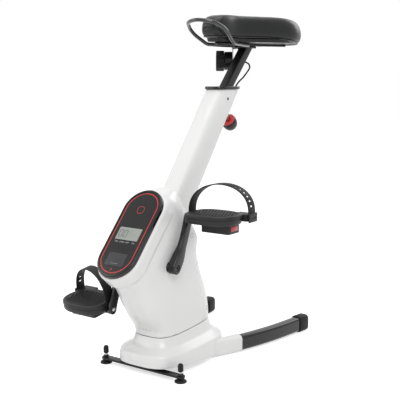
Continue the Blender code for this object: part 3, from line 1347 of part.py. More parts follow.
def build_brake(machine):
    """Curved arm over the flywheel's rim, hung from the frame's stud, and its strip of magnets."""
    pivot = brake_pivot()
    hub = make_hub("brake_hub", machine, pivot)
    middle = Vector((FLYWHEEL_SIDE, FLYWHEEL_BACK, FLYWHEEL_UP)) - pivot
    inner = brake_inner_radius()
    arm_shape = brake_band(middle, inner, inner + BRAKE_ARM_DEPTH, BRAKE_ARM_WIDTH, 0)
    arm = add_piece("brake_arm", arm_shape, "grey_plastic", hub)
    eye_start = SIDEWAYS * (FLYWHEEL_SIDE - BRAKE_ARM_WIDTH / 2)
    eye = rod(eye_start, SIDEWAYS, BRAKE_EYE_RADIUS, BRAKE_ARM_WIDTH, count=SMALL_COUNT)
    hole = rod(eye_start - SIDEWAYS * OVERCUT, SIDEWAYS, BRAKE_PIN_RADIUS + GAP, 3 * OVERCUT,
               count=SMALL_COUNT)
    join(arm, add_tool("brake_eye", eye, hub))
    cut(arm, add_tool("brake_eye_hole", hole, hub))
    face = inner - GAP
    width = BRAKE_ARM_WIDTH - MAGNET_TRIM
    strip = brake_band(middle, face - MAGNET_BACKING, face, width, MAGNET_FIRST_STEP)
    magnets = add_piece("brake_magnets", strip, "steel", hub)
    for index, share in enumerate(MAGNET_SHARES):
        angle = mix(BRAKE_PIVOT_ANGLE, BRAKE_END_ANGLE, share)
        ray = Vector((0.0, math.cos(angle), math.sin(angle)))
        frame = square_frame(SIDEWAYS, ray.cross(SIDEWAYS), ray, middle + ray * face)
        magnet = slab(rectangle(width, MAGNET_LENGTH), frame, -MAGNET_DEPTH, GAP - MAGNET_BACKING)
        join(magnets, add_tool("magnet_%d" % index, magnet, hub))


def build_lock(machine):
    """Spring barrel, pin, pull knob and red insert of the height lock."""
    out = lock_direction()
    low, high = LOCK_BARREL
    bore = LOCK_PIN_RADIUS + GAP
    barrel = pipe(lock_point(low), out, LOCK_BARREL_RADIUS, bore, high - low, BREAK_EDGE, SMALL_COUNT)
    add_piece("lock_barrel", barrel, "steel", machine)
    hub = make_hub("lock_hub", machine, lock_point(0.0))
    pin = rod(out * LOCK_PIN[0], out, LOCK_PIN_RADIUS, LOCK_PIN[1] - LOCK_PIN[0], BREAK_EDGE, SMALL_COUNT)
    add_piece("lock_pin", pin, "steel", hub)
    insert_start = out * -LOCK_INSERT_LENGTH / 2
    insert = pipe(insert_start, out, LOCK_INSERT_RADIUS, bore, LOCK_INSERT_LENGTH, LOCK_INSERT_EDGE)
    add_piece("lock_insert", insert, "red_plastic", hub)
    start = LOCK_INSERT_LENGTH / 2 + GAP
    bore_end = start + LOCK_KNOB_BORE
    profile = [(0.0, bore_end), (bore, bore_end), (bore, start), (LOCK_KNOB_RADIUS - BREAK_EDGE, start)]
    shoulder = start + LOCK_KNOB_SHOULDER
    dome = LOCK_KNOB_LENGTH - LOCK_KNOB_SHOULDER
    for step in range(LOCK_KNOB_STEPS):
        angle = math.pi / 2 * step / LOCK_KNOB_STEPS
        radius = LOCK_KNOB_RADIUS * math.cos(angle) ** LOCK_KNOB_ROUNDNESS
        profile.append((radius, shoulder + dome * math.sin(angle)))
    profile.append((0.0, start + LOCK_KNOB_LENGTH))
    add_piece("lock_knob", turned((0.0, 0.0, 0.0), out, profile), "black_gloss", hub)


def from_seat(shape):
    """Shift a shape from the machine's axes to those of the seat hub."""
    bmesh.ops.translate(shape, vec=-post_point(POST_UP), verts=shape.verts)
    return shape


def build_seat(machine):
    """Post, clamp, saddle, grip bar and tension dial, which rise together."""
    hub = make_hub("seat_hub", machine, post_point(POST_UP))
    along = post_direction()
    low, high = post_point(POST_END_UP), post_point(POST_TOP_UP) + along * OVERCUT
    section = rounded_rectangle(POST_WIDTH, POST_WIDTH, POST_CORNER)
    post = add_piece("seat_post", from_seat(swept((low, high), section)), "black_paint", hub)
    inner_width = POST_WIDTH - 2 * POST_WALL
    bore = swept((low - along * OVERCUT, high + along * OVERCUT),
                 rounded_rectangle(inner_width, inner_width, POST_WALL))
    reach = Vector((POST_WIDTH, 2 * POST_WIDTH, 0.0))
    top = post_point(POST_TOP_UP)
    level = box(top - reach, top + reach + UPWARDS * 3 * OVERCUT)
    cut(post, add_tool("post_bore", from_seat(bore), hub), add_tool("post_top", from_seat(level), hub))
    pin_start = lock_point(LOCK_PIN[0] - POST_WIDTH / 4)
    for index in range(-LOCK_HOLES_ABOVE, LOCK_HOLES_BELOW + 1):
        hole = rod(pin_start - along * LOCK_HOLE_PITCH * index, lock_direction(), LOCK_HOLE_RADIUS, OVERCUT,
                   count=CABLE_COUNT)
        cut(post, add_tool("post_hole_%d" % (index + LOCK_HOLES_ABOVE), from_seat(hole), hub))
    build_clamp(hub)
    build_saddle(hub)
    build_grip_bar(hub)
    build_dial(hub)
    cable = carried(cable_route(), circle(CABLE_RADIUS, CABLE_COUNT))
    add_piece("tension_cable", from_seat(cable), "black_rubber", hub)


def cable_route():
    """Line of the cable: behind the post, through the collar and down to its stop on the mast."""
    start = dial_point(-DIAL_PLATE_THICKNESS / 2 - GAP)
    stops = [start] + [Vector(stop) for stop in CABLE_LOOP]
    stops.append(Vector((CABLE_SIDE, CABLE_COLLAR_BACK, CABLE_COLLAR_UP)))
    stops += [Vector((CABLE_SIDE, back, up)) for back, up in CABLE_BELOW]
    stops.append(Vector((CABLE_SIDE, CABLE_END_BACK, CABLE_STOP_UP[1] + CABLE_END_GAP)))
    return smooth_route(stops, CABLE_STEPS)


def build_clamp(hub):
    """Welded clamp plate on top of the post, with a wing over the dial's tab."""
    low_up = POST_TOP_UP + GAP
    high_up = low_up + CLAMP_THICKNESS
    plate = box((-CLAMP_HALF_WIDTH, CLAMP_BACK[0], low_up), (CLAMP_HALF_WIDTH, CLAMP_BACK[1], high_up))
    clamp = add_piece("saddle_clamp", from_seat(plate), "black_paint", hub)
    wing = box((CLAMP_WING_SIDE, CLAMP_WING_BACK[0], low_up), (0.0, CLAMP_WING_BACK[1], high_up))
    join(clamp, add_tool("clamp_wing", from_seat(wing), hub))


def saddle_half_width(back):
    """Half width of the saddle at a distance back."""
    share = (back - SADDLE_FRONT) / (SADDLE_BACK - SADDLE_FRONT)
    return mix(SADDLE_NOSE_HALF_WIDTH, SADDLE_HALF_WIDTH, ease(share, *SADDLE_FLARE))


def saddle_ring(scale, up, follow):
    """Outline of the saddle at a height; its rear hangs lower by a share of the drop."""
    middle = (SADDLE_FRONT + SADDLE_BACK) / 2
    half_length = (SADDLE_BACK - SADDLE_FRONT) / 2
    drop_start = mix(SADDLE_FRONT, SADDLE_BACK, SADDLE_DROP_START)
    ring = []
    for index in range(SADDLE_COUNT):
        angle = math.tau * index / SADDLE_COUNT
        across, along = math.cos(angle), math.sin(angle)
        reach = half_length * math.copysign(abs(along) ** SADDLE_END_SQUARENESS, along)
        half = saddle_half_width(middle + reach) * scale
        x = half * math.copysign(abs(across) ** SADDLE_SIDE_SQUARENESS, across)
        y = middle + reach * scale
        ring.append(Vector((x, y, up - SADDLE_REAR_DROP * follow * ease(y, drop_start, SADDLE_BACK))))
    return ring


def build_saddle(hub):
    """Padded saddle on its moulded pan, and the bent rail under it."""
    height = SADDLE_TOP - SADDLE_BOTTOM
    rings = [saddle_ring(scale, SADDLE_BOTTOM + height * share, follow)
             for scale, share, follow in CUSHION_LAYERS]
    add_piece("saddle_cushion", from_seat(skin(rings)), "vinyl", hub)
    pan_rings = (saddle_ring(PAN_SCALE - PAN_EDGE_SCALE, PAN_UNDER, 0.0),
                 saddle_ring(PAN_SCALE, PAN_UNDER + PAN_EDGE, 0.0),
                 saddle_ring(PAN_SCALE + PAN_EDGE_SCALE, SADDLE_BOTTOM - GAP, 0.0))
    add_piece("saddle_pan", from_seat(skin(pan_rings)), "black_gloss", hub)
    left = [Vector((side, back, RAIL_UP)) for side, back in RAIL_STOPS]
    right = [Vector((-side, back, RAIL_UP)) for side, back in reversed(RAIL_STOPS)]
    route = smooth_route(left + [Vector((0.0, RAIL_NOSE_BACK, RAIL_UP))] + right, RAIL_STEPS)
    rails = carried(route, circle(RAIL_RADIUS, RAIL_COUNT))
    add_piece("saddle_rails", from_seat(rails), "black_paint", hub)


def build_grip_bar(hub):
    """Round bar that loops in front of the saddle's nose, from one side of the clamp to the other."""
    left = [Vector(stop) for stop in BAR_STOPS]
    right = [Vector((-side, back, up)) for side, back, up in BAR_STOPS[-2::-1]]
    bar = carried(smooth_route(left + right, BAR_STEPS), circle(BAR_RADIUS, BAR_COUNT))
    add_piece("grip_bar", from_seat(bar), "black_gloss", hub)


def dial_direction():
    """Unit vector out of the dial's face."""
    return Vector((-math.cos(DIAL_TURN), -math.sin(DIAL_TURN), 0.0))


def dial_point(distance):
    """Point on the dial's axis, measured outwards from the middle of its plate."""
    return Vector((DIAL_SIDE, DIAL_BACK, DIAL_UP)) + dial_direction() * distance


def build_dial(hub):
    """Tension dial beside the post: hanging plate, fixed base and turning knob."""
    out = dial_direction()
    across = UPWARDS.cross(out)
    half = DIAL_PLATE_THICKNESS / 2
    plate_middle = Vector((DIAL_SIDE, DIAL_BACK, (DIAL_PLATE_LOW + POST_TOP_UP) / 2))
    plate_frame = square_frame(across, UPWARDS, out, plate_middle)
    plate_outline = rectangle(2 * DIAL_PLATE_HALF_WIDTH, POST_TOP_UP - DIAL_PLATE_LOW)
    plate = add_piece("dial_plate", from_seat(slab(plate_outline, plate_frame, -half, half)), "steel", hub)
    tab = box(*zip(DIAL_TAB_SIDE, DIAL_TAB_BACK, (POST_TOP_UP - DIAL_PLATE_THICKNESS, POST_TOP_UP)))
    join(plate, add_tool("dial_tab", from_seat(tab), hub))
    base_low = half + GAP
    base_high = base_low + DIAL_BASE_LENGTH
    spigot_end = base_high + DIAL_NECK_GAP + DIAL_SPIGOT_LENGTH
    base_profile = [(0.0, base_low), (DIAL_BASE_RADIUS, base_low),
                    (DIAL_BASE_RADIUS, base_high - DIAL_BASE_EDGE),
                    (DIAL_BASE_RADIUS - DIAL_BASE_EDGE, base_high), (DIAL_SPIGOT_RADIUS, base_high),
                    (DIAL_SPIGOT_RADIUS, spigot_end), (0.0, spigot_end)]
    base = turned(dial_point(0.0), out, base_profile)
    add_piece("dial_base", from_seat(base), "black_gloss", hub)
    knob_start = dial_point(base_high + DIAL_NECK_GAP)
    knob_hub = make_hub("dial_hub", hub, knob_start - post_point(POST_UP))
    rings = []
    edge = DIAL_BASE_EDGE
    for distance, shrink in ((0.0, edge), (edge, 0.0), (DIAL_KNOB_LENGTH - edge, 0.0),
                             (DIAL_KNOB_LENGTH, edge)):
        ring = []
        count = DIAL_LOBES * DIAL_LOBE_STEPS
        for index in range(count):
            angle = math.tau * index / count
            dip = DIAL_LOBE_DEPTH * (0.5 - 0.5 * math.cos(DIAL_LOBES * angle)) ** 2
            radius = DIAL_KNOB_RADIUS - shrink - dip
            spoke = across * math.cos(angle) + UPWARDS * math.sin(angle)
            ring.append(out * distance + spoke * radius)
        rings.append(ring)
    knob = add_piece("tension_knob", skin(rings), "black_rubber", knob_hub)
    socket = rod(out * -OVERCUT, out, DIAL_SPIGOT_RADIUS + GAP, OVERCUT + DIAL_SPIGOT_LENGTH + GAP)
    cut(knob, add_tool("knob_socket", socket, knob_hub))


MATERIALS = {}


def main():
    """Build the whole machine."""
    clear_scene()
    MATERIALS.update(make_finishes())
    machine = make_hub("machine", None, (0.0, FEET_LINE_Y, 0.0))
    build_base(machine)
    build_casing(machine)
    build_display(machine)
    build_frame(machine)
    build_column(machine)
    build_crank_set(machine)
    build_flywheel(machine)
    build_brake(machine)
    build_lock(machine)
    build_seat(machine)


main()
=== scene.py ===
"""Looks of the desk exercise bike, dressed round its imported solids.

A place is (side, back, up) in metres: side to the rider's left, back from the line of the two front feet.
"""

import json
import logging
import math
from dataclasses import dataclass
from enum import Enum
from typing import Any, Callable, Iterable, Sequence

import bmesh
import bpy
from mathutils import Matrix, Vector
from mathutils.bvhtree import BVHTree


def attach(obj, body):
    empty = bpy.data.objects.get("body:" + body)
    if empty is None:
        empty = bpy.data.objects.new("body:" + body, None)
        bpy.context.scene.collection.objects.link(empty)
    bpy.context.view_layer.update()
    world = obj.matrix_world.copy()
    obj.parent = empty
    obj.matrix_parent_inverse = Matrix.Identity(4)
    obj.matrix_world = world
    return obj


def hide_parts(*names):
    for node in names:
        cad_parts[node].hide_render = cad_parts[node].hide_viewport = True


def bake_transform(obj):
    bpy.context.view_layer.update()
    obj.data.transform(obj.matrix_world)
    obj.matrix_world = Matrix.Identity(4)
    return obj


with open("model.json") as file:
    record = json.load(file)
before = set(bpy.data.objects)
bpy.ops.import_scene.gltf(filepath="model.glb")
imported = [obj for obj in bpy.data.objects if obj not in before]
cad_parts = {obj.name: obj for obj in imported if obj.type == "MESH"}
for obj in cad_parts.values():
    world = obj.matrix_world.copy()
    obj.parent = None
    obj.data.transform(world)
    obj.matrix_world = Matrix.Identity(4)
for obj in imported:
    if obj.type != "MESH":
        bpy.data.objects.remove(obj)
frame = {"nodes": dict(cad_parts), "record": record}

FEET_LINE_Y = -0.2513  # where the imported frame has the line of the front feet
GAP = 0.0003  # between pieces that seat on each other
OVERCUT = 0.02  # how far a cutting form reaches past what it cuts
WALL = 0.003  # of the moulded covers
QUARTER = math.pi / 2
SIDES: tuple[tuple[str, int], ...] = (("left", 1), ("right", -1))
SIDEWAYS = Vector((1.0, 0.0, 0.0))
BACKWARDS = Vector((0.0, 1.0, 0.0))
UPWARDS = Vector((0.0, 0.0, 1.0))
CLOUD_BAND = (0.3, 0.7)  # part of a noise that carries the colour and the gloss
CLOUD_DETAIL = 3.0
LEAST_ROUGHNESS = 0.03
BRUSH_STRETCH = (1.0, 0.05, 1.0)
LEATHER_SMOOTHNESS = 0.6
GRAIN_DETAIL = 2.0
CAST_DETAIL = 8.0

Pair = tuple[float, float]
Triple = tuple[float, float, float]
Ring = list[Vector]
Outline = list[Pair]
Profile = Sequence[Pair]
Shape = bmesh.types.BMesh
Piece = bpy.types.Object
Tree = bpy.types.NodeTree
Socket = bpy.types.NodeSocket

logging.basicConfig(level=logging.INFO, format="%(message)s")
report = logging.getLogger("bike")


def set_inputs(tree: Tree, node: bpy.types.Node, values: dict[str | int, Any]) -> bpy.types.Node:
    """Fill inputs of a node: a socket is linked, and anything else is set as a constant."""
    for key, value in values.items():
        if isinstance(value, Socket):
            tree.links.new(value, node.inputs[key])
        else:
            node.inputs[key].default_value = value
    return node


def add_node(tree: Tree, kind: str, values: dict[str | int, Any]) -> bpy.types.Node:
    """Add a node and fill its inputs."""
    return set_inputs(tree, tree.nodes.new(kind), values)


def add_object(name: str, data: bpy.types.ID) -> Piece:
    """Make an object of some data and link it to the scene."""
    made = bpy.data.objects.new(name, data)
    bpy.context.scene.collection.objects.link(made)
    return made


class Grain(Enum):
    """Relief of a finish."""

    SMOOTH = "smooth"
    ORANGE_PEEL = "orange peel"
    FINE = "fine texture"
    LEATHER = "leather"
    BRUSHED = "brushed"
    CAST = "cast"


@dataclass(frozen=True)
class Finish:
    """One surface finish and the recipe of its material."""

    name: str
    colour: Triple
    roughness: float
    metallic: float = 0.0
    coat: float = 0.0
    coat_roughness: float = 0.08
    specular: float = 0.5
    grain: Grain = Grain.SMOOTH
    grain_scale: float = 400.0
    grain_height: float = 0.00005
    mottling: float = 0.05
    smudge: float = 0.06
    cloud_scale: float = 14.0

    def material(self) -> bpy.types.Material:
        """Build the material.

        Returns:
            A material whose nodes read the piece's own place.
        """
        made = bpy.data.materials.new(self.name)
        made.use_nodes = True
        made.diffuse_color = (*self.colour, 1.0)
        tree = made.node_tree
        place = tree.nodes.new("ShaderNodeTexCoord").outputs["Object"]
        cloud = add_node(tree, "ShaderNodeTexNoise", {
            "Vector": place, "Scale": self.cloud_scale, "Detail": CLOUD_DETAIL}).outputs["Fac"]
        looks = {"Metallic": self.metallic, "Specular IOR Level": self.specular, "Coat Weight": self.coat,
                 "Coat Roughness": self.coat_roughness, "Base Color": self._colour(tree, cloud),
                 "Roughness": self._roughness(tree, cloud)}
        if self.grain is not Grain.SMOOTH:
            looks["Normal"] = self._relief(tree, place)
        set_inputs(tree, tree.nodes["Principled BSDF"], looks)
        return made

    def _colour(self, tree: Tree, cloud: Socket) -> Socket:
        """Colour that varies a little over the surface."""
        ramp = add_node(tree, "ShaderNodeValToRGB", {"Fac": cloud})
        for stop, position, change in zip(ramp.color_ramp.elements, CLOUD_BAND, (-self.mottling, self.mottling)):
            stop.position = position
            stop.color = (*(min(value * (1.0 + change), 1.0) for value in self.colour), 1.0)
        return ramp.outputs["Color"]

    def _roughness(self, tree: Tree, cloud: Socket) -> Socket:
        """Gloss with faint smudges."""
        return add_node(tree, "ShaderNodeMapRange", {
            "Value": cloud, "From Min": CLOUD_BAND[0], "From Max": CLOUD_BAND[1],
            "To Min": max(self.roughness - self.smudge, LEAST_ROUGHNESS),
            "To Max": self.roughness + self.smudge}).outputs["Result"]

    def _relief(self, tree: Tree, place: Socket) -> Socket:
        """Normal with the grain of the surface."""
        if self.grain is Grain.BRUSHED:
            place = add_node(tree, "ShaderNodeMapping", {"Vector": place, "Scale": BRUSH_STRETCH}).outputs["Vector"]
        looks = {"Vector": place, "Scale": self.grain_scale}
        if self.grain is Grain.LEATHER:
            pattern = tree.nodes.new("ShaderNodeTexVoronoi")
            pattern.feature = "SMOOTH_F1"
            height = set_inputs(tree, pattern, {**looks, "Smoothness": LEATHER_SMOOTHNESS}).outputs["Distance"]
        else:
            looks["Detail"] = CAST_DETAIL if self.grain is Grain.CAST else GRAIN_DETAIL
            height = add_node(tree, "ShaderNodeTexNoise", looks).outputs["Fac"]
        return add_node(tree, "ShaderNodeBump", {"Height": height, "Distance": self.grain_height}).outputs["Normal"]


WHITE_SHELL = Finish("white_shell", (0.80, 0.80, 0.795), 0.28, coat=0.25, grain=Grain.ORANGE_PEEL, grain_scale=220.0,
                     grain_height=0.00006, mottling=0.004, smudge=0.015, specular=0.4, cloud_scale=5.0)
BLACK_GLOSS = Finish("black_gloss", (0.0065, 0.0065, 0.0070), 0.16, coat=0.15, grain=Grain.ORANGE_PEEL,
                     grain_scale=260.0, grain_height=0.00003, specular=0.30)
BLACK_PAINT = Finish("black_paint", (0.0075, 0.0075, 0.0080), 0.32, grain=Grain.ORANGE_PEEL, grain_scale=420.0,
                     specular=0.28)
BLACK_RUBBER = Finish("black_rubber", (0.011, 0.011, 0.0115), 0.55, grain=Grain.FINE, grain_scale=900.0,
                      grain_height=0.0001, mottling=0.15, specular=0.22)
PEDAL_PLASTIC = Finish("pedal_plastic", (0.017, 0.017, 0.0175), 0.44, grain=Grain.FINE, grain_scale=700.0,
                       grain_height=0.0001, mottling=0.12, specular=0.28)
VINYL = Finish("vinyl", (0.0060, 0.0065, 0.0065), 0.30, coat=0.10, coat_roughness=0.22, grain=Grain.LEATHER,
               grain_scale=520.0, grain_height=0.00016, mottling=0.10, smudge=0.07, specular=0.30)
STEEL = Finish("steel", (0.60, 0.60, 0.61), 0.26, metallic=1.0, grain=Grain.BRUSHED, grain_scale=900.0)
BAR_GLOSS = Finish("bar_gloss", (0.0060, 0.0060, 0.0065), 0.09, coat=0.5, coat_roughness=0.05, grain=Grain.ORANGE_PEEL,
                   grain_scale=180.0, grain_height=0.00002, smudge=0.03, specular=0.5)
DARK_STEEL = Finish("dark_steel", (0.055, 0.055, 0.058), 0.30, metallic=1.0, grain=Grain.BRUSHED, grain_scale=900.0)
CAST_IRON = Finish("cast_iron", (0.12, 0.12, 0.125), 0.55, metallic=0.7, grain=Grain.CAST, grain_height=0.0003)
GREY_PLASTIC = Finish("grey_plastic", (0.042, 0.042, 0.045), 0.40, grain=Grain.FINE, grain_scale=800.0, specular=0.3)
RED_PLASTIC = Finish("red_plastic", (0.50, 0.014, 0.014), 0.28, coat=0.3, grain=Grain.FINE, mottling=0.10)
WINDOW = Finish("window", (0.30, 0.32, 0.29), 0.22, coat=0.3, mottling=0.06, cloud_scale=40.0)
SEGMENT = Finish("segment", (0.060, 0.065, 0.060), 0.40, mottling=0.05)
PRINT_GREY = Finish("print_grey", (0.42, 0.42, 0.43), 0.45, mottling=0.05)
PRINT_RED = Finish("print_red", (0.62, 0.030, 0.022), 0.35, mottling=0.05)
SHADOW_LINE = Finish("shadow_line", (0.20, 0.20, 0.20), 0.60, mottling=0.05)
BOARD = Finish("board", (0.02, 0.13, 0.05), 0.55, mottling=0.2)
FINISH_OF_SLOT: dict[str, Finish] = {
    made.name: made for made in (WHITE_SHELL, BLACK_GLOSS, BLACK_PAINT, BLACK_RUBBER, PEDAL_PLASTIC, VINYL, STEEL,
                                 CAST_IRON, GREY_PLASTIC, RED_PLASTIC, WINDOW, BOARD)
}


def superellipse(half_x: float, half_y: float, power: float, count: int) -> Outline:
    """Points of a superellipse; 2 is an ellipse and larger powers are squarer."""
    points = []
    for index in range(count):
        angle = math.tau * index / count
        across, along = math.cos(angle), math.sin(angle)
        points.append((math.copysign(abs(across) ** (2.0 / power), across) * half_x,
                       math.copysign(abs(along) ** (2.0 / power), along) * half_y))
    return points


def rounded_rectangle(width: float, height: float, radius: float, steps: int = 5) -> Outline:
    """Points of a rectangle with round corners, centred on zero."""
    points = []
    for corner in range(4):
        start = corner * QUARTER
        centre_x = math.copysign(width / 2 - radius, math.cos(start + QUARTER / 2))
        centre_y = math.copysign(height / 2 - radius, math.sin(start + QUARTER / 2))
        for step in range(steps + 1):
            angle = start + QUARTER * step / steps
            points.append((centre_x + radius * math.cos(angle), centre_y + radius * math.sin(angle)))
    return points


def stadium(half_width: float, half_length: float, count: int) -> Outline:
    """Points of a straight-sided outline with two round ends along its length."""
    points = []
    straight = half_length - half_width
    for centre, start in ((straight, 0.0), (-straight, math.pi)):
        for index in range(count // 2 + 1):
            angle = start + math.pi * index / (count // 2)
            points.append((half_width * math.cos(angle), centre + half_width * math.sin(angle)))
    return points


def circle(radius: float, count: int) -> Outline:
    """Points of a circle."""
    return [(radius * math.cos(math.tau * i / count), radius * math.sin(math.tau * i / count)) for i in range(count)]


def smooth_route(stops: Sequence[Sequence[float]], steps: int) -> Ring:
    """A smooth curve through every stop, with a number of steps between stops."""
    points = [Vector(stop) for stop in stops]
    ends = [points[0] * 2 - points[1]] + points + [points[-1] * 2 - points[-2]]
    route = []
    for index in range(1, len(ends) - 2):
        a, b, c, d = ends[index - 1:index + 3]
        for step in range(steps):
            t = step / steps
            route.append(0.5 * (2 * b + (c - a) * t + (2 * a - 5 * b + 4 * c - d) * t ** 2
                                + (3 * b - a - 3 * c + d) * t ** 3))
    route.append(points[-1])
    return route


def densify(rings: Sequence[Ring], steps: int) -> list[Ring]:
    """Add rings between rings, each point following a smooth curve."""
    lines = [smooth_route([ring[index] for ring in rings], steps) for index in range(len(rings[0]))]
    return [[line[index] for line in lines] for index in range(len(lines[0]))]


def loft(rings: Sequence[Ring], wrap: bool = False) -> Shape:
    """Skin rings of points into one closed body.

    Args:
        rings: Rings with the same number of points; a ring of one point is a tip.
        wrap: Join the last ring to the first in place of closing the ends.

    Returns:
        The body as a new mesh in construction.
    """
    shape = bmesh.new()
    loops = [[shape.verts.new(point) for point in ring] for ring in rings]
    pairs = list(zip(loops, loops[1:]))
    if wrap:
        pairs.append((loops[-1], loops[0]))
    for low, high in pairs:
        count = max(len(low), len(high))
        for index in range(count):
            following = (index + 1) % count
            if len(low) == 1:
                corners = (low[0], high[following], high[index])
            elif len(high) == 1:
                corners = (low[index], low[following], high[0])
            else:
                corners = (low[index], low[following], high[following], high[index])
            shape.faces.new(corners)
    if not wrap:
        for loop in (loops[0], loops[-1]):
            if len(loop) > 1:
                shape.faces.new(loop)
    bmesh.ops.recalc_face_normals(shape, faces=shape.faces)
    return shape


def axes_along(direction: Vector) -> tuple[Vector, Vector]:
    """Two unit vectors square to a direction: across it, and nearest to upright."""
    ahead = direction.normalized()
    across = ahead.cross(UPWARDS)
    if across.length < GAP:
        across = SIDEWAYS.copy()
    across.normalize()
    return across, across.cross(ahead)


def sweep(route: Sequence[Vector], section: Outline, twisting: bool = True) -> Shape:
    """Carry a section along a route.

    Args:
        route: Points of the route.
        section: (across, above) points.
        twisting: Turn the section with the least twist; otherwise it stays upright.

    Returns:
        The closed body.
    """
    ahead = (route[1] - route[0]).normalized()
    across, above = axes_along(ahead)
    rings = []
    for index, point in enumerate(route):
        heading = (route[min(index + 1, len(route) - 1)] - route[max(index - 1, 0)]).normalized()
        if twisting:
            turn = ahead.rotation_difference(heading)
            across.rotate(turn)
            above.rotate(turn)
            ahead = heading
        else:
            across, above = axes_along(heading)
        rings.append([point + across * x + above * y for x, y in section])
    return loft(rings)


def turned(start: Vector, direction: Vector, profile: Profile, count: int = 48, wrap: bool = False) -> Shape:
    """Revolve (radius, distance) points about a line."""
    ahead = direction.normalized()
    across, above = axes_along(ahead)
    rings = []
    for radius, distance in profile:
        centre = start + ahead * distance
        if radius == 0.0:
            rings.append([centre])
        else:
            rings.append([centre + across * x + above * y for x, y in circle(radius, count)])
    return loft(rings, wrap)


def rod(start: Vector, direction: Vector, radius: float, length: float, count: int = 48) -> Shape:
    """A plain round rod."""
    return turned(start, direction, [(0.0, 0.0), (radius, 0.0), (radius, length), (0.0, length)], count)


def first_edge(edge: float, steps: int) -> Outline:
    """(distance, shrink) pairs of a rounded edge that starts at a face."""
    turns = [QUARTER * step / steps for step in range(steps + 1)]
    return [(edge - edge * math.cos(turn), edge - edge * math.sin(turn)) for turn in turns]


def last_edge(high: float, edge: float, steps: int) -> Outline:
    """(distance, shrink) pairs of a rounded edge that ends at a face."""
    return [(high - distance, shrink) for distance, shrink in reversed(first_edge(edge, steps))]


def round_profile(radius: float, length: float, edge: float, steps: int = 4) -> Outline:
    """Profile of a solid rod with rounded edges, from its first tip to its last."""
    layers = first_edge(edge, steps) + last_edge(length, edge, steps)
    return [(0.0, 0.0), *((radius - shrink, distance) for distance, shrink in layers), (0.0, length)]


def slab(outline: Outline, matrix: Matrix, low: float, high: float, edge: float = 0.0, steps: int = 4) -> Shape:
    """Extrude a centred outline along its own normal, with a rounded upper rim."""
    reach_x = max(abs(x) for x, _ in outline)
    reach_y = max(abs(y) for _, y in outline)
    layers = [(low, 0.0)] + (last_edge(high, edge, steps) if edge else [(high, 0.0)])
    return loft([[matrix @ Vector((x * (1.0 - shrink / reach_x), y * (1.0 - shrink / reach_y), height))
                  for x, y in outline] for height, shrink in layers])


def block(low: Sequence[float], high: Sequence[float], edge: float = 0.0) -> Shape:
    """A box between two opposite corners, with rounded edges."""
    low, high = Vector(low), Vector(high)
    shape = bmesh.new()
    bmesh.ops.create_cube(shape, size=1.0)
    bmesh.ops.scale(shape, vec=Vector([abs(reach) for reach in high - low]), verts=shape.verts)
    bmesh.ops.translate(shape, vec=(low + high) / 2, verts=shape.verts)
    if edge:
        bmesh.ops.bevel(shape, geom=shape.edges[:], offset=edge, segments=2, profile=0.5, affect="EDGES")
    return shape


def merge(*shapes: Shape) -> Shape:
    """Put several shapes in one."""
    whole = shapes[0]
    for other in shapes[1:]:
        loose = bpy.data.meshes.new("loose")
        other.to_mesh(loose)
        other.free()
        whole.from_mesh(loose)
        bpy.data.meshes.remove(loose)
    return whole


def moved(shape: Shape, matrix: Matrix) -> Shape:
    """Turn and shift a shape."""
    bmesh.ops.transform(shape, matrix=matrix, verts=shape.verts)
    return shape


def leaning(angle: float) -> Vector:
    """Unit vector that leans back from upright."""
    return Vector((0.0, math.sin(angle), math.cos(angle)))


def ease(value: float, low: float, high: float) -> float:
    """Rise smoothly from 0 at low to 1 at high."""
    share = min(max((value - low) / (high - low), 0.0), 1.0)
    return share * share * (3.0 - 2.0 * share)


def mix(first: Any, second: Any, share: float) -> Any:
    """Blend two values."""
    return first + (second - first) * share


def square_frame(across: Vector, along: Vector, outward: Vector, place: Vector) -> Matrix:
    """Matrix from three square directions and a place."""
    made = Matrix((across, along, outward)).transposed().to_4x4()
    made.translation = place
    return made


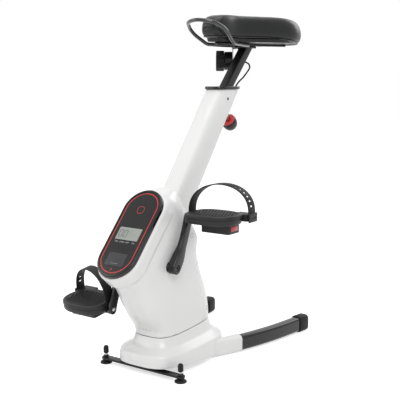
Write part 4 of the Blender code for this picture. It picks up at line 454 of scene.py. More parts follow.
class Workshop:
    """Turns shapes into finished pieces."""

    def __init__(self) -> None:
        """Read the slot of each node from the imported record."""
        self.materials: dict[Finish, bpy.types.Material] = {}
        self.slots: dict[str, str] = {part["node"]: part["material_slot"] for part in frame["record"]["subparts"]}
        self.hidden: set[str] = set()

    def material(self, finish: Finish) -> bpy.types.Material:
        """The one material of a finish."""
        if finish not in self.materials:
            self.materials[finish] = finish.material()
        return self.materials[finish]

    def raw(self, name: str, shape: Shape) -> Piece:
        """Make a loose object from a shape in the machine's own axes."""
        mesh = bpy.data.meshes.new(name)
        shape.to_mesh(mesh)
        shape.free()
        return add_object(name, mesh)

    def settle(self, piece: Piece) -> None:
        """Turn a piece and its modifiers into a plain mesh."""
        graph = bpy.context.evaluated_depsgraph_get()
        mesh = bpy.data.meshes.new_from_object(piece.evaluated_get(graph))
        piece.modifiers.clear()
        old = piece.data
        piece.data = mesh
        bpy.data.meshes.remove(old)

    def combine(self, piece: Piece, shapes: Iterable[Shape], operation: str) -> None:
        """Apply shapes to a piece, one after another.

        Args:
            piece: The piece.
            shapes: The shapes; they are used up.
            operation: UNION or DIFFERENCE.
        """
        tools = [self.raw(piece.name + "_tool", shape) for shape in shapes]
        for tool in tools:
            step = piece.modifiers.new("combine", "BOOLEAN")
            step.operation, step.solver, step.object = operation, "EXACT", tool
        self.settle(piece)
        for tool in tools:
            bpy.data.objects.remove(tool)

    def carve(self, piece: Piece, shapes: Iterable[Shape]) -> None:
        """Take shapes out of a piece."""
        self.combine(piece, shapes, "DIFFERENCE")

    def melt(self, piece: Piece, voxel: float, passes: int) -> None:
        """Run overlapping forms of a moulding together with soft fillets."""
        blend = piece.modifiers.new("blend", "REMESH")
        blend.mode = "VOXEL"
        blend.voxel_size = voxel
        piece.modifiers.new("ease", "SMOOTH").iterations = passes
        self.settle(piece)

    def soften(self, piece: Piece, passes: int, weight: Callable[[Vector], float]) -> None:
        """Smooth one zone of a piece.

        Args:
            piece: The piece.
            passes: How many times it is smoothed.
            weight: Gives each place its share, 0 to 1.
        """
        zone = piece.vertex_groups.new(name="zone")
        for vertex in piece.data.vertices:
            share = weight(vertex.co)
            if share > 0.0:
                zone.add([vertex.index], share, "REPLACE")
        ease_out = piece.modifiers.new("ease_zone", "SMOOTH")
        ease_out.iterations = passes
        ease_out.vertex_group = zone.name
        self.settle(piece)
        piece.vertex_groups.clear()

    def publish(self, piece: Piece, finish: Finish, body: str, node: str = "", sharp: float = 38.0,
                across: tuple[str, Vector, Vector] | None = None) -> None:
        """Finish a piece and hang it on its body.

        Args:
            piece: The piece, in the machine's own axes.
            finish: Its finish.
            body: The CAD body that it moves with.
            node: The CAD node that it stands for and whose slot it takes.
            sharp: Edges above this angle stay crisp, in degrees.
            across: For a piece that bends: the body at its far end, and where the bend starts and ends.
                Only whether it is given is read: such a piece then stays where it is, on no body.
        """
        piece.data.transform(Matrix.Translation((0.0, FEET_LINE_Y, 0.0)))
        piece.data.materials.clear()
        piece.data.materials.append(self.material(finish))
        piece.data.shade_smooth()
        piece.data.set_sharp_from_angle(angle=math.radians(sharp))
        if across:
            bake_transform(piece)
        else:
            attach(piece, body)
        if node:
            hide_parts(node)
            self.hidden.add(node)
        report.info("%s: %d faces on %s", piece.name, len(piece.data.polygons), body)

    def make(self, name: str, shape: Shape, finish: Finish, body: str, node: str = "", sharp: float = 38.0) -> None:
        """Make and finish a piece from one shape. The arguments are those of publish."""
        self.publish(self.raw(name, shape), finish, body, node, sharp)

    def dress_nodes(self) -> None:
        """Give every solid that still shows its procedural finish."""
        for name, node in frame["nodes"].items():
            if name in self.hidden:
                continue
            finish = next(made for key, made in FINISH_OF_SLOT.items() if self.slots[name].endswith(key))
            node.data.materials.clear()
            node.data.materials.append(self.material(finish))
            report.info("%s: solid dressed in %s", name, finish.name)


class Scatter:
    """Geometry Nodes tree that sets a small form on each point of a guide mesh."""

    def __init__(self, name: str) -> None:
        """Build the tree."""
        self.tree = bpy.data.node_groups.new(name, "GeometryNodeTree")
        face = self.tree.interface
        face.new_socket(name="Guide", in_out="INPUT", socket_type="NodeSocketGeometry")
        self.inputs = {title: face.new_socket(name=title, in_out="INPUT", socket_type=kind).identifier
                       for title, kind in (("Form", "NodeSocketObject"), ("Finish", "NodeSocketMaterial"))}
        face.new_socket(name="Forms", in_out="OUTPUT", socket_type="NodeSocketGeometry")
        tree, enter = self.tree, self.tree.nodes.new("NodeGroupInput")
        form = add_node(tree, "GeometryNodeObjectInfo", {"Object": enter.outputs["Form"]})
        align = tree.nodes.new("FunctionNodeAlignRotationToVector")
        align.axis = "Z"
        set_inputs(tree, align, {"Vector": tree.nodes.new("GeometryNodeInputNormal").outputs["Normal"]})
        place = add_node(tree, "GeometryNodeInstanceOnPoints", {
            "Points": enter.outputs["Guide"], "Instance": form.outputs["Geometry"],
            "Rotation": align.outputs["Rotation"]})
        real = add_node(tree, "GeometryNodeRealizeInstances", {"Geometry": place.outputs["Instances"]})
        dress = add_node(tree, "GeometryNodeSetMaterial", {
            "Geometry": real.outputs["Geometry"], "Material": enter.outputs["Finish"]})
        add_node(tree, "NodeGroupOutput", {"Forms": dress.outputs["Geometry"]})

    def grow(self, shop: Workshop, guide: Piece, form: Shape, finish: Finish) -> None:
        """Set forms on a guide, which becomes one plain mesh of them.

        Args:
            shop: The workshop.
            guide: Mesh whose points carry the forms.
            form: The small form, drawn round zero.
            finish: Its finish.
        """
        small = shop.raw("form", form)
        step = guide.modifiers.new("scatter", "NODES")
        step.node_group = self.tree
        step[self.inputs["Form"]] = small
        step[self.inputs["Finish"]] = shop.material(finish)
        shop.settle(guide)
        bpy.data.objects.remove(small)


@dataclass
class Column:
    """Leaning seat column: its axis, its tapering outline and its collar."""

    lean: float = math.radians(37.5)
    top_back: float = 0.3555
    top_up: float = 0.690
    bottom_up: float = 0.375
    top_half: Pair = (0.0300, 0.0500)
    bottom_half: Pair = (0.0320, 0.0530)
    squareness: float = 3.6
    count: int = 96
    cover_shares: tuple[float, ...] = (0.0, 0.25, 0.5, 0.75, 0.998, 1.0)
    rim_edge: float = 0.0004
    barrel_start: float = -0.0525
    barrel_radius: float = 0.0093
    barrel_length: float = 0.048
    barrel_edge: float = 0.0001
    collar_layers: Profile = ((0.0, 0.0022), (0.0006, 0.0030), (0.0060, 0.0030), (0.0071, 0.0024), (0.0075, 0.0014))
    passage_reach: float = 0.04
    post_play: float = 0.0012
    cable_reach: float = 0.06
    cable_hole: float = 0.0034
    plug_drop: float = 0.025
    plug: Profile = ((0.0, -0.0010), (0.0040, -0.0010), (0.0040, 0.0002), (0.0034, 0.0006), (0.0016, 0.0008),
                     (0.0, 0.0008))

    def ring(self, up: float, spread: float) -> Ring:
        """Horizontal outline of the cover at a height, grown by a spread."""
        share = (up - self.bottom_up) / (self.top_up - self.bottom_up)
        half_x = mix(self.bottom_half[0], self.top_half[0], share) + spread
        half_y = mix(self.bottom_half[1], self.top_half[1], share) + spread / math.cos(self.lean)
        centre = self.top_back - (self.top_up - up) * math.tan(self.lean)
        return [Vector((x, centre + y, up)) for x, y in superellipse(half_x, half_y, self.squareness, self.count)]

    def direction(self) -> Vector:
        """Unit vector up the column."""
        return leaning(self.lean)

    def build(self, shop: Workshop, lock: "HeightLock", post: "Post", cable: "Cable") -> None:
        """Make the white cover with its barrel hole, the black collar and two screw plugs."""
        ups = [mix(self.bottom_up, self.top_up, share) for share in self.cover_shares]
        rings = [self.ring(up, -self.rim_edge if up == self.top_up else 0.0) for up in ups]
        cover = shop.raw("column_cover_shell", loft(rings))
        hollow = loft([self.ring(up, -WALL) for up in (self.bottom_up - OVERCUT, self.top_up + OVERCUT)])
        barrel = round_profile(self.barrel_radius, self.barrel_length, self.barrel_edge)
        shop.carve(cover, [hollow, turned(lock.point(self.barrel_start), lock.direction(), barrel)])
        shop.publish(cover, WHITE_SHELL, "base", "column_cover")
        collar = shop.raw("column_collar_ring", loft([
            [point + UPWARDS * (GAP + lift) for point in self.ring(self.top_up, spread)]
            for lift, spread in self.collar_layers]))
        reach, size = post.direction() * self.passage_reach, post.width + self.post_play
        passage = sweep([post.point(self.top_up) - reach, post.point(self.top_up) + reach],
                        rounded_rectangle(size, size, post.corner), False)
        near = [point for point in cable.route() if abs(point.z - self.top_up) < self.cable_reach]
        shop.carve(collar, [passage, sweep(near, circle(self.cable_hole, 20))])
        shop.publish(collar, BLACK_GLOSS, "base", "column_collar")
        middle = self.top_back - self.plug_drop * math.tan(self.lean)
        for side, sign in SIDES:
            place = min(self.ring(self.top_up - self.plug_drop, 0.0), key=lambda p: abs(p.y - middle) - sign * p.x)
            shop.make("column_plug_" + side, turned(place, SIDEWAYS * sign, self.plug, 24), GREY_PLASTIC, "base")


@dataclass
class Post:
    """Square steel seat post, leaning a little further than the column."""

    lean: float = math.radians(43.0)
    back: float = 0.4280
    up: float = 0.7556
    width: float = 0.026
    top_up: float = 0.802
    end_up: float = 0.520
    corner: float = 0.003
    wall: float = 0.002
    inner_corner: float = 0.002
    pitch: float = 0.030
    hole_start: float = -0.0615
    hole_radius: float = 0.0046
    holes: tuple[int, int] = (-1, 6)

    def point(self, up: float) -> Vector:
        """Point on the post's axis at a height."""
        return Vector((0.0, self.back - (self.up - up) * math.tan(self.lean), up))

    def direction(self) -> Vector:
        """Unit vector up the post."""
        return leaning(self.lean)

    def build(self, shop: Workshop, lock: "HeightLock") -> None:
        """Make the tube, cut level at its top, with the row of lock holes."""
        along = self.direction()
        low, high = self.point(self.end_up), self.point(self.top_up) + along * OVERCUT
        tube = shop.raw("seat_post_tube", sweep([low, mix(low, high, 0.5), high],
                                                rounded_rectangle(self.width, self.width, self.corner), False))
        inside = self.width - 2 * self.wall
        bore = sweep([low - along * OVERCUT, high + along * OVERCUT],
                     rounded_rectangle(inside, inside, self.inner_corner), False)
        top = self.point(self.top_up)
        reach = Vector((self.width, 2 * self.width, 0.0))
        level = block(top - reach, top + reach + UPWARDS * 3 * OVERCUT)
        holes = [rod(lock.point(self.hole_start) - along * self.pitch * index, lock.direction(), self.hole_radius,
                     OVERCUT, 24) for index in range(*self.holes)]
        shop.carve(tube, [bore, level, *holes])
        shop.publish(tube, BLACK_PAINT, "seat", "seat_post")


@dataclass
class HeightLock:
    """Pull knob of the height lock behind the column, with its red insert."""

    back: float = 0.383
    up: float = 0.606
    lean: float = math.radians(43.0)
    knob_radius: float = 0.021
    knob_length: float = 0.030
    shoulder: float = 0.006
    insert_radius: float = 0.0195
    insert_length: float = 0.006
    pin_radius: float = 0.0043
    bore_depth: float = 0.011
    knob_edge: Profile = ((0.0012, 0.0), (0.0003, 0.0008), (0.0, 0.0016))
    insert_edge: Profile = ((0.0012, 0.0), (0.0003, 0.0009), (0.0, 0.0018))
    roundness: float = 0.7
    dome_steps: int = 17

    def direction(self) -> Vector:
        """Unit vector along the pin, out of the column's back."""
        return Vector((0.0, math.cos(self.lean), -math.sin(self.lean)))

    def point(self, distance: float) -> Vector:
        """Point on the pin's axis, measured outwards from the insert."""
        return Vector((0.0, self.back, self.up)) + self.direction() * distance

    def build(self, shop: Workshop) -> None:
        """Make the round knob and the insert in its foot."""
        place, out, half = self.point(0.0), self.direction(), self.insert_length / 2
        start = half + GAP
        knob = [(0.0, start + self.bore_depth), (self.pin_radius, start + self.bore_depth), (self.pin_radius, start),
                *((self.knob_radius - shrink, start + rise) for shrink, rise in self.knob_edge)]
        dome = self.knob_length - self.shoulder
        for step in range(self.dome_steps):
            angle = QUARTER * step / self.dome_steps
            knob.append((self.knob_radius * math.cos(angle) ** self.roundness,
                         start + self.shoulder + dome * math.sin(angle)))
        knob.append((0.0, start + self.knob_length))
        shop.make("lock_knob_grip", turned(place, out, knob), BLACK_GLOSS, "lock_pin", "lock_knob")
        foot = [(self.insert_radius - shrink, rise - half) for shrink, rise in self.insert_edge]
        ring = [(self.pin_radius, -half), *foot, *((radius, -rise) for radius, rise in reversed(foot)),
                (self.pin_radius, half)]
        shop.make("lock_insert_ring", turned(place, out, ring, wrap=True), RED_PLASTIC, "lock_pin", "lock_insert")


@dataclass
class Casing:
    """Hollow moulded casing round the drive, in two halves, with the display's pod on its front."""

    panel_tilt: float = math.radians(48.0)
    panel_back: float = -0.0423
    panel_up: float = 0.3594
    # A slice is its front (back, up), its rear (back, up), its half width and its squareness.
    seam: tuple = ((0.018, 0.086), (0.235, 0.098), 0.062, 3.4)
    low: tuple = (((0.012, 0.106), (0.234, 0.125), 0.0615, 3.4), ((-0.017, 0.142), (0.230, 0.165), 0.0610, 3.2),
                  ((-0.040, 0.178), (0.214, 0.205), 0.0610, 3.2), ((-0.058, 0.212), (0.199, 0.240), 0.0610, 3.2),
                  ((-0.088, 0.244), (0.192, 0.266), 0.0610, 3.2))
    # Along the display, a slice starts with its distance up the panel.
    panel: tuple = ((-0.112, (0.190, 0.282), 0.061, 3.2), (-0.070, (0.188, 0.290), 0.061, 3.3),
                    (0.000, (0.187, 0.296), 0.060, 3.4), (0.070, (0.186, 0.300), 0.059, 3.5),
                    (0.118, (0.185, 0.304), 0.057, 3.6))
    top: tuple = ((0.098, 0.452), (0.160, 0.350), 0.036, 3.2)
    bezel_depth: float = 0.010
    pod_half: Pair = (0.0605, 0.1285)
    pod_depth: float = 0.036
    inner_wall: float = 0.0048
    # A screw has its back and up, and how far its axis turns back from sideways.
    screws: tuple = ((0.020, 0.106, math.radians(38.0)), (0.205, 0.125, 0.0), (0.185, 0.250, 0.0),
                     (0.130, 0.330, 0.0))
    count: int = 72
    between: int = 4
    pod_count: int = 96
    pod_edge: float = 0.004
    voxel: float = 0.0022
    passes: int = 15
    zone_passes: int = 60
    zone_back: Pair = (0.07, 0.13)
    zone_start: Pair = (0.19, 0.23)
    zone_end: Pair = (0.36, 0.42)
    foot_drop: float = 0.006
    column_play: float = 0.0012
    shaft_start: Triple = (-0.1, 0.034, 0.268)
    shaft_radius: float = 0.0135
    shaft_length: float = 0.2
    far: Triple = (0.3, 0.6, 0.7)  # outside the casing: to a side, behind and above it
    cap: Profile = ((0.0, -0.0008), (0.0056, -0.0008), (0.0056, 0.0001), (0.0048, 0.0004), (0.0, 0.0006))
    cap_line: Profile = ((0.0058, -0.0008), (0.0066, -0.0008), (0.0066, 0.00006), (0.0058, 0.00006))

    def face(self, lift: float = 0.0) -> Matrix:
        """Frame of the display: X to the rider's left, Y up the panel, Z out of its face."""
        along = Vector((0.0, math.cos(self.panel_tilt), math.sin(self.panel_tilt)))
        outward = leaning(-self.panel_tilt)
        return square_frame(along.cross(outward), along, outward,
                            Vector((0.0, self.panel_back, self.panel_up)) + outward * lift)

    def rings(self, inset: float) -> list[Ring]:
        """Fan of slices between the front line and the back line."""
        face = self.face(-self.bezel_depth)
        slices = [self.seam, *self.low]
        for along, back, half_width, squareness in self.panel:
            place = face @ Vector((0.0, along, 0.0))
            slices.append(((place.y, place.z), back, half_width, squareness))
        slices.append(self.top)
        rings = []
        for front, back, half_width, squareness in slices:
            front, back = Vector((0.0, *front)), Vector((0.0, *back))
            centre, reach = (front + back) / 2, (back - front) / 2
            inward = 1.0 - inset / reach.length
            rings.append([centre + SIDEWAYS * x + reach * y * inward
                          for x, y in superellipse(half_width - inset, 1.0, squareness, self.count)])
        return rings

    def build(self, shop: Workshop, column: Column) -> None:
        """Make both halves."""
        outline = stadium(*self.pod_half, self.pod_count)
        pod = slab(outline, self.face(-self.bezel_depth), -self.pod_depth, -GAP, self.pod_edge)
        whole = shop.raw("casing", merge(loft(densify(self.rings(0.0), self.between)), pod))
        shop.melt(whole, self.voxel, self.passes)
        shop.soften(whole, self.zone_passes, lambda place: ease(place.y, *self.zone_back)
                    * ease(place.z, *self.zone_start) * (1.0 - ease(place.z, *self.zone_end)))
        hollow = densify(self.rings(self.inner_wall), self.between)
        hollow[0] = [point - UPWARDS * self.foot_drop for point in hollow[0]]
        hollow[-1] = [point - column.direction() * WALL for point in hollow[-1]]
        opening = [column.ring(up, self.column_play) for up in (column.bottom_up - 2 * OVERCUT, column.top_up)]
        shaft = rod(Vector(self.shaft_start), SIDEWAYS, self.shaft_radius, self.shaft_length)
        shop.carve(whole, [loft(hollow), loft(opening), shaft])
        reach, back, up = self.far
        for side, sign in SIDES:
            half = add_object("casing_%s_shell" % side, whole.data.copy())
            shop.carve(half, [block((sign * GAP / 2, -reach, 0.0), (-sign * reach, back, up))])
            self.plugs(shop, side, sign, half)
            shop.publish(half, WHITE_SHELL, "base", "casing_" + side)
        bpy.data.objects.remove(whole)

    def plugs(self, shop: Workshop, side: str, sign: int, half: Piece) -> None:
        """Set a capped screw at each fixing place of one half.

        Args:
            shop: The workshop.
            side: Name of the side.
            sign: 1 on the rider's left, -1 on the right.
            half: The finished half, on whose skin the caps sit.
        """
        skin = BVHTree.FromPolygons([vertex.co for vertex in half.data.vertices],
                                    [face.vertices[:] for face in half.data.polygons])
        caps, lines = [], []
        for back, up, turn in self.screws:
            aim = Vector((-sign * math.cos(turn), math.sin(turn), 0.0))
            hit, normal, _, _ = skin.ray_cast(Vector((0.0, back, up)) - aim * self.far[0], aim)
            if hit is not None:
                caps.append(turned(hit, normal, self.cap, 32))
                lines.append(turned(hit, normal, self.cap_line, 32, True))
        shop.make("casing_caps_" + side, merge(*caps), WHITE_SHELL, "base")
        shop.make("casing_cap_lines_" + side, merge(*lines), SHADOW_LINE, "base")


@dataclass
class BaseCover:
    """White cover over the frame's foot, with a soft shoulder and a neck up to the casing."""

    front: float = -0.022
    back: float = 0.270
    half_width: float = 0.096
    squareness: float = 3.2
    bottoms: Pair = (0.023, 0.005)
    rims: Pair = (0.052, 0.058)
    shoulder: tuple = ((0.0, -0.014), (0.0015, -0.006), (0.004, -0.001), (0.012, 0.0035))
    neck_steps: Profile = ((0.35, 0.0065), (0.62, 0.010), (0.85, 0.006))
    count: int = 96
    between: int = 3

    def plan(self, spread: float, front_up: float, back_up: float) -> Ring:
        """Plan outline at a sloping height."""
        middle, half = (self.front + self.back) / 2, (self.back - self.front) / 2
        return [Vector((x, middle + y, mix(front_up, back_up, ease(y, -half, half))))
                for x, y in superellipse(self.half_width + spread, half + spread, self.squareness, self.count)]

    def neck(self, spread: float, casing: Casing) -> Ring:
        """Upper edge of the neck, just under the casing's seam."""
        (front, front_up), (back, back_up), half_x, squareness = casing.seam
        middle, half = (front + back) / 2, (back - front) / 2
        return [Vector((x, middle + y, mix(front_up, back_up, (y + half) / (2 * half)) - GAP))
                for x, y in superellipse(half_x + spread, half + spread, squareness, self.count)]

    def rings(self, inset: float, casing: Casing) -> list[Ring]:
        """Wall, shoulder and hollow neck."""
        rings = [self.plan(-inset, *self.bottoms)]
        for step_in, step_up in self.shoulder:
            rise = step_up - inset
            rings.append(self.plan(-step_in - inset, self.rims[0] + rise, self.rims[1] + rise))
        neck = self.neck(-inset, casing)
        shoulder = rings[-1]
        for share, drop in self.neck_steps:
            rings.append([mix(outer, inner, share) - UPWARDS * drop for outer, inner in zip(shoulder, neck)])
        return rings + [neck]

    def build(self, shop: Workshop, casing: Casing, legs: "Legs") -> None:
        """Make the hollow cover with its leg passages."""
        cover = shop.raw("base_cover_shell", loft(densify(self.rings(0.0, casing), self.between)))
        hollow = self.rings(WALL, casing)
        hollow[0] = [point - UPWARDS * OVERCUT for point in hollow[0]]
        hollow.append([point + UPWARDS * OVERCUT for point in hollow[-1]])
        around = legs.section(legs.sleeve_wall + GAP)
        passages = [sweep(legs.route(sign, legs.fine)[:legs.cover_reach], around, False) for _, sign in SIDES]
        shop.carve(cover, [loft(hollow), *passages])
        shop.publish(cover, WHITE_SHELL, "base", "base_cover", sharp=30.0)


@dataclass
class Legs:
    """Curved rear legs in black tube, with white sleeves at their roots and rubber caps."""

    stops: tuple = ((0.036, 0.125), (0.086, 0.208), (0.118, 0.292), (0.144, 0.400), (0.163, 0.535))
    width: float = 0.028
    height: float = 0.040
    bottom: float = 0.0035
    corner: float = 0.008
    fine: int = 10
    coarse: int = 4
    cover_reach: int = 32
    bore_reach: int = 24
    sleeve_span: tuple[int, int] = (6, 18)
    sleeve_ends: tuple[int, int] = (2, 7)
    sleeve_wall: float = 0.0025
    cap_wall: float = 0.0032
    cap_profile: tuple = ((-0.034, -0.0020), (-0.0335, -0.0006), (-0.0325, 0.0), (0.002, 0.0), (0.0045, -0.0008),
                          (0.0065, -0.0024), (0.0082, -0.0050), (0.0090, -0.0085))

    def route(self, sign: int, steps: int) -> Ring:
        """Plan curve of a leg through the middle of its tube."""
        middle = self.bottom + self.height / 2
        return smooth_route([(sign * x, y, middle) for x, y in self.stops], steps)

    def section(self, spread: float) -> Outline:
        """Upright rounded rectangle, grown by a spread."""
        return rounded_rectangle(self.width + 2 * spread, self.height + 2 * spread, self.corner + spread, 6)

    def build(self, shop: Workshop) -> None:
        """Make both legs."""
        for side, sign in SIDES:
            route, coarse = self.route(sign, self.fine), self.route(sign, self.coarse)
            shop.make("leg_tube_%s_curve" % side, sweep(route, self.section(0.0), False), BLACK_GLOSS, "base",
                      "leg_tube_" + side)
            first, last = (coarse[index] for index in self.sleeve_ends)
            covered = [first, *route[slice(*self.sleeve_span)], last]
            sleeve = shop.raw("leg_sleeve_%s_shell" % side, sweep(covered, self.section(self.sleeve_wall), False))
            shop.carve(sleeve, [sweep(route[:self.bore_reach], self.section(GAP), False)])
            shop.publish(sleeve, WHITE_SHELL, "base", "leg_sleeve_" + side)
            end, ahead = coarse[-1], (coarse[-1] - coarse[-2]).normalized()
            across, above = axes_along(ahead)
            rings = [[end + ahead * distance + across * x + above * y for x, y in self.section(self.cap_wall + spread)]
                     for distance, spread in self.cap_profile]
            cap = shop.raw("leg_cap_%s_boot" % side, loft(rings))
            shop.carve(cap, [sweep(coarse[-4:-1] + [end + ahead * GAP], self.section(GAP), False)])
            shop.publish(cap, BLACK_RUBBER, "base", "leg_cap_" + side)


@dataclass
class Feet:
    """Front cross bar with screw-in levelling feet and their caps."""

    side: float = 0.118
    bar_low: float = 0.0120
    bar_high: float = 0.0165
    bar_width: float = 0.022
    bar_edge: float = 0.0008
    nut_sides: int = 6
    nut: Profile = ((0.0, 0.0), (0.0075, 0.0), (0.0075, 0.0052), (0.0066, 0.0058), (0.0, 0.0058))
    hole_radius: float = 0.0043
    hole_length: float = 0.05
    pad: Profile = ((0.0, 0.0), (0.0135, 0.0), (0.0145, 0.0004), (0.0150, 0.0012), (0.0150, 0.0032), (0.0144, 0.0042),
                    (0.0120, 0.0060), (0.0085, 0.0072), (0.0070, 0.0085), (0.0040, 0.0085), (0.0, 0.0088))
    stud_span: Pair = (0.0088, 0.0428)
    threads: int = 17
    thread_start: float = 0.0092
    thread_pitch: float = 0.002
    thread: Profile = ((0.0036, 0.0), (0.0040, 0.0009))
    cap: Profile = ((0.0, 0.0433), (0.0043, 0.0433), (0.0043, 0.0270), (0.0064, 0.0270), (0.0068, 0.0275),
                    (0.0068, 0.0400), (0.0062, 0.0430), (0.0050, 0.0450), (0.0032, 0.0460), (0.0, 0.0460))

    def build(self, shop: Workshop) -> None:
        """Make the bar, the feet and the caps."""
        outline = stadium(self.bar_width / 2, self.side + self.bar_width / 2, 48)
        plate = slab(outline, Matrix.Rotation(QUARTER, 4, "Z"), self.bar_low, self.bar_high, self.bar_edge, 2)
        bar = shop.raw("front_foot_bar_plate", plate)
        places = {side: Vector((sign * self.side, 0.0, 0.0)) for side, sign in SIDES}
        nut_low = UPWARDS * (self.bar_high - self.bar_edge)
        nuts = [turned(place + nut_low, UPWARDS, self.nut, self.nut_sides) for place in places.values()]
        shop.combine(bar, nuts, "UNION")
        shop.carve(bar, [rod(place, UPWARDS, self.hole_radius, self.hole_length, 24) for place in places.values()])
        shop.publish(bar, BLACK_PAINT, "base", "front_foot_bar")
        ups = [self.thread_start + self.thread_pitch * index for index in range(self.threads)]
        low, high = self.stud_span
        stud = [(0.0, low), *((radius, up + rise) for up in ups for radius, rise in self.thread), (0.0, high)]
        for side, place in places.items():
            foot = "foot_" + side
            shop.make("levelling_foot_%s_pad" % side, turned(place, UPWARDS, self.pad, 40), BLACK_RUBBER, foot,
                      "levelling_foot_" + side)
            shop.make("levelling_stud_" + side, turned(place, UPWARDS, stud, 40), STEEL, foot)
            shop.make("foot_cap_%s_dome" % side, turned(place, UPWARDS, self.cap, 32), BLACK_RUBBER, foot,
                      "foot_cap_" + side)


@dataclass
class Display:
    """Glossy oval display with a window, a red outline, small labels and a push pad."""

    count: int = 96
    bezel_half: Pair = (0.0555, 0.1235)
    bezel_depth: float = 0.010
    bezel_edge: float = 0.0035
    face_half: Pair = (0.0497, 0.1165)
    face_drop: float = 0.0010
    window_size: Pair = (0.067, 0.034)
    window_along: float = -0.005
    button_size: Pair = (0.055, 0.0355)
    button_along: float = -0.0758
    pocket_depth: float = 0.004
    well_inset: float = 0.006
    window_corner: float = 0.0010
    window_play: float = 0.0006
    window_depths: Pair = (0.0018, 0.0015)
    button_corners: Pair = (0.0036, 0.003)
    button_play: float = 0.0012
    button_depth: float = 0.0024
    button_rise: float = 0.0004
    print_height: float = 0.00015
    # A printed line has its name, its place up the panel, its outer half size and its width.
    lines: tuple = (("display_line", 0.0, (0.0460, 0.1127), 0.0021),
                    ("display_ring", 0.0640, (0.0105, 0.01051), 0.0011),
                    ("display_dot", -0.1030, (0.0026, 0.00261), 0.0008))
    figure_starts: tuple[float, ...] = (-0.0235, -0.0095)
    level_strokes: Profile = ((0.0, 0.0095), (0.0, -0.0095))
    upright_strokes: Profile = ((-0.0045, 0.0048), (-0.0045, -0.0048), (0.0045, 0.0048), (0.0045, -0.0048))
    stroke: Pair = (0.0080, 0.0015)
    stroke_height: float = 0.0002
    button_line: tuple = ((-0.0100, -0.0112, 0.0004), (0.0100, -0.0106, 0.0007))
    labels: tuple[str, ...] = ("TIME", "SPEED", "DIST", "CAL")
    label_start: float = -0.0255
    label_pitch: float = 0.0170
    label_along: float = -0.0300
    label_size: float = 0.0052
    label_height: float = 0.0001

    def build(self, shop: Workshop, casing: Casing) -> None:
        """Make the rim, face, window, marks and button."""
        face = casing.face()
        rim = shop.raw("display_bezel_rim", slab(stadium(*self.bezel_half, self.count), face, -self.bezel_depth,
                                                 0.0, self.bezel_edge, 6))
        pocket = stadium(*(half + GAP for half in self.face_half), self.count)
        well = stadium(*(half - self.well_inset for half in self.face_half), 64)
        shop.carve(rim, [slab(pocket, face, -self.pocket_depth, OVERCUT), slab(well, face, -OVERCUT, OVERCUT)])
        shop.publish(rim, BLACK_GLOSS, "base", "display_bezel")
        panel = shop.raw("display_panel_face",
                         slab(stadium(*self.face_half, self.count), face, GAP - self.pocket_depth, -self.face_drop))
        at_window, at_button = (face @ Matrix.Translation((0.0, along, -self.face_drop))
                                for along in (self.window_along, self.button_along))
        hole_depth, glass_depth = self.window_depths
        hole = rounded_rectangle(*(size + self.window_play for size in self.window_size), self.window_corner, 2)
        slot = rounded_rectangle(*(size + self.button_play for size in self.button_size), self.button_corners[0])
        shop.carve(panel, [slab(hole, at_window, -hole_depth, OVERCUT), slab(slot, at_button, -OVERCUT, OVERCUT)])
        shop.publish(panel, BLACK_GLOSS, "base", "display_panel")
        glass = rounded_rectangle(*self.window_size, self.window_corner, 2)
        shop.make("display_window_glass", slab(glass, at_window, -glass_depth, 0.0), WINDOW, "base", "display_window")
        button = slab(rounded_rectangle(*self.button_size, self.button_corners[1]), at_button, -self.button_depth,
                      self.button_rise, self.button_rise, 3)
        shop.make("display_button_pad", button, GREY_PLASTIC, "display_button", "display_button")
        self.marks(shop, face, at_window, at_button)

    def marks(self, shop: Workshop, face: Matrix, at_window: Matrix, at_button: Matrix) -> None:
        """Red outline, plain ring and dot, figures in the window, a line on the button and the labels."""
        low, high = -self.face_drop, self.print_height - self.face_drop
        for name, along, half, width in self.lines:
            outer = stadium(*half, self.count)
            inner = stadium(*(size - width for size in half), self.count)
            place = face @ Matrix.Translation((0.0, along, 0.0))
            rings = [[place @ Vector((x, y, height)) for x, y in outline]
                     for outline, height in ((outer, low), (outer, high), (inner, high), (inner, low))]
            shop.make(name, loft(rings, wrap=True), PRINT_RED, "base")
        long, thin = self.stroke
        strokes = [(place, (long, thin)) for place in self.level_strokes]
        strokes += [(place, (thin, long)) for place in self.upright_strokes]
        bars = [moved(block((start + x - across / 2, y - along / 2, 0.0),
                            (start + x + across / 2, y + along / 2, self.stroke_height)), at_window)
                for start in self.figure_starts for (x, y), (across, along) in strokes]
        shop.make("display_figures", merge(*bars), SEGMENT, "base")
        shop.make("display_button_line", moved(block(*self.button_line), at_button), PRINT_GREY, "display_button")
        for index, word in enumerate(self.labels):
            place = (self.label_start + self.label_pitch * index, self.label_along, low)
            self.label(shop, word, face @ Matrix.Translation(place))

    def label(self, shop: Workshop, word: str, place: Matrix) -> None:
        """One small printed word."""
        curve = bpy.data.curves.new("label", "FONT")
        curve.body, curve.size, curve.extrude, curve.align_x = word, self.label_size, self.label_height, "CENTER"
        printed = add_object("label", curve)
        bpy.context.view_layer.update()
        mesh = bpy.data.meshes.new_from_object(printed.evaluated_get(bpy.context.evaluated_depsgraph_get()))
        bpy.data.objects.remove(printed)
        mesh.transform(place)
        shop.publish(add_object("display_label_" + word.lower(), mesh), PRINT_GREY, "base")


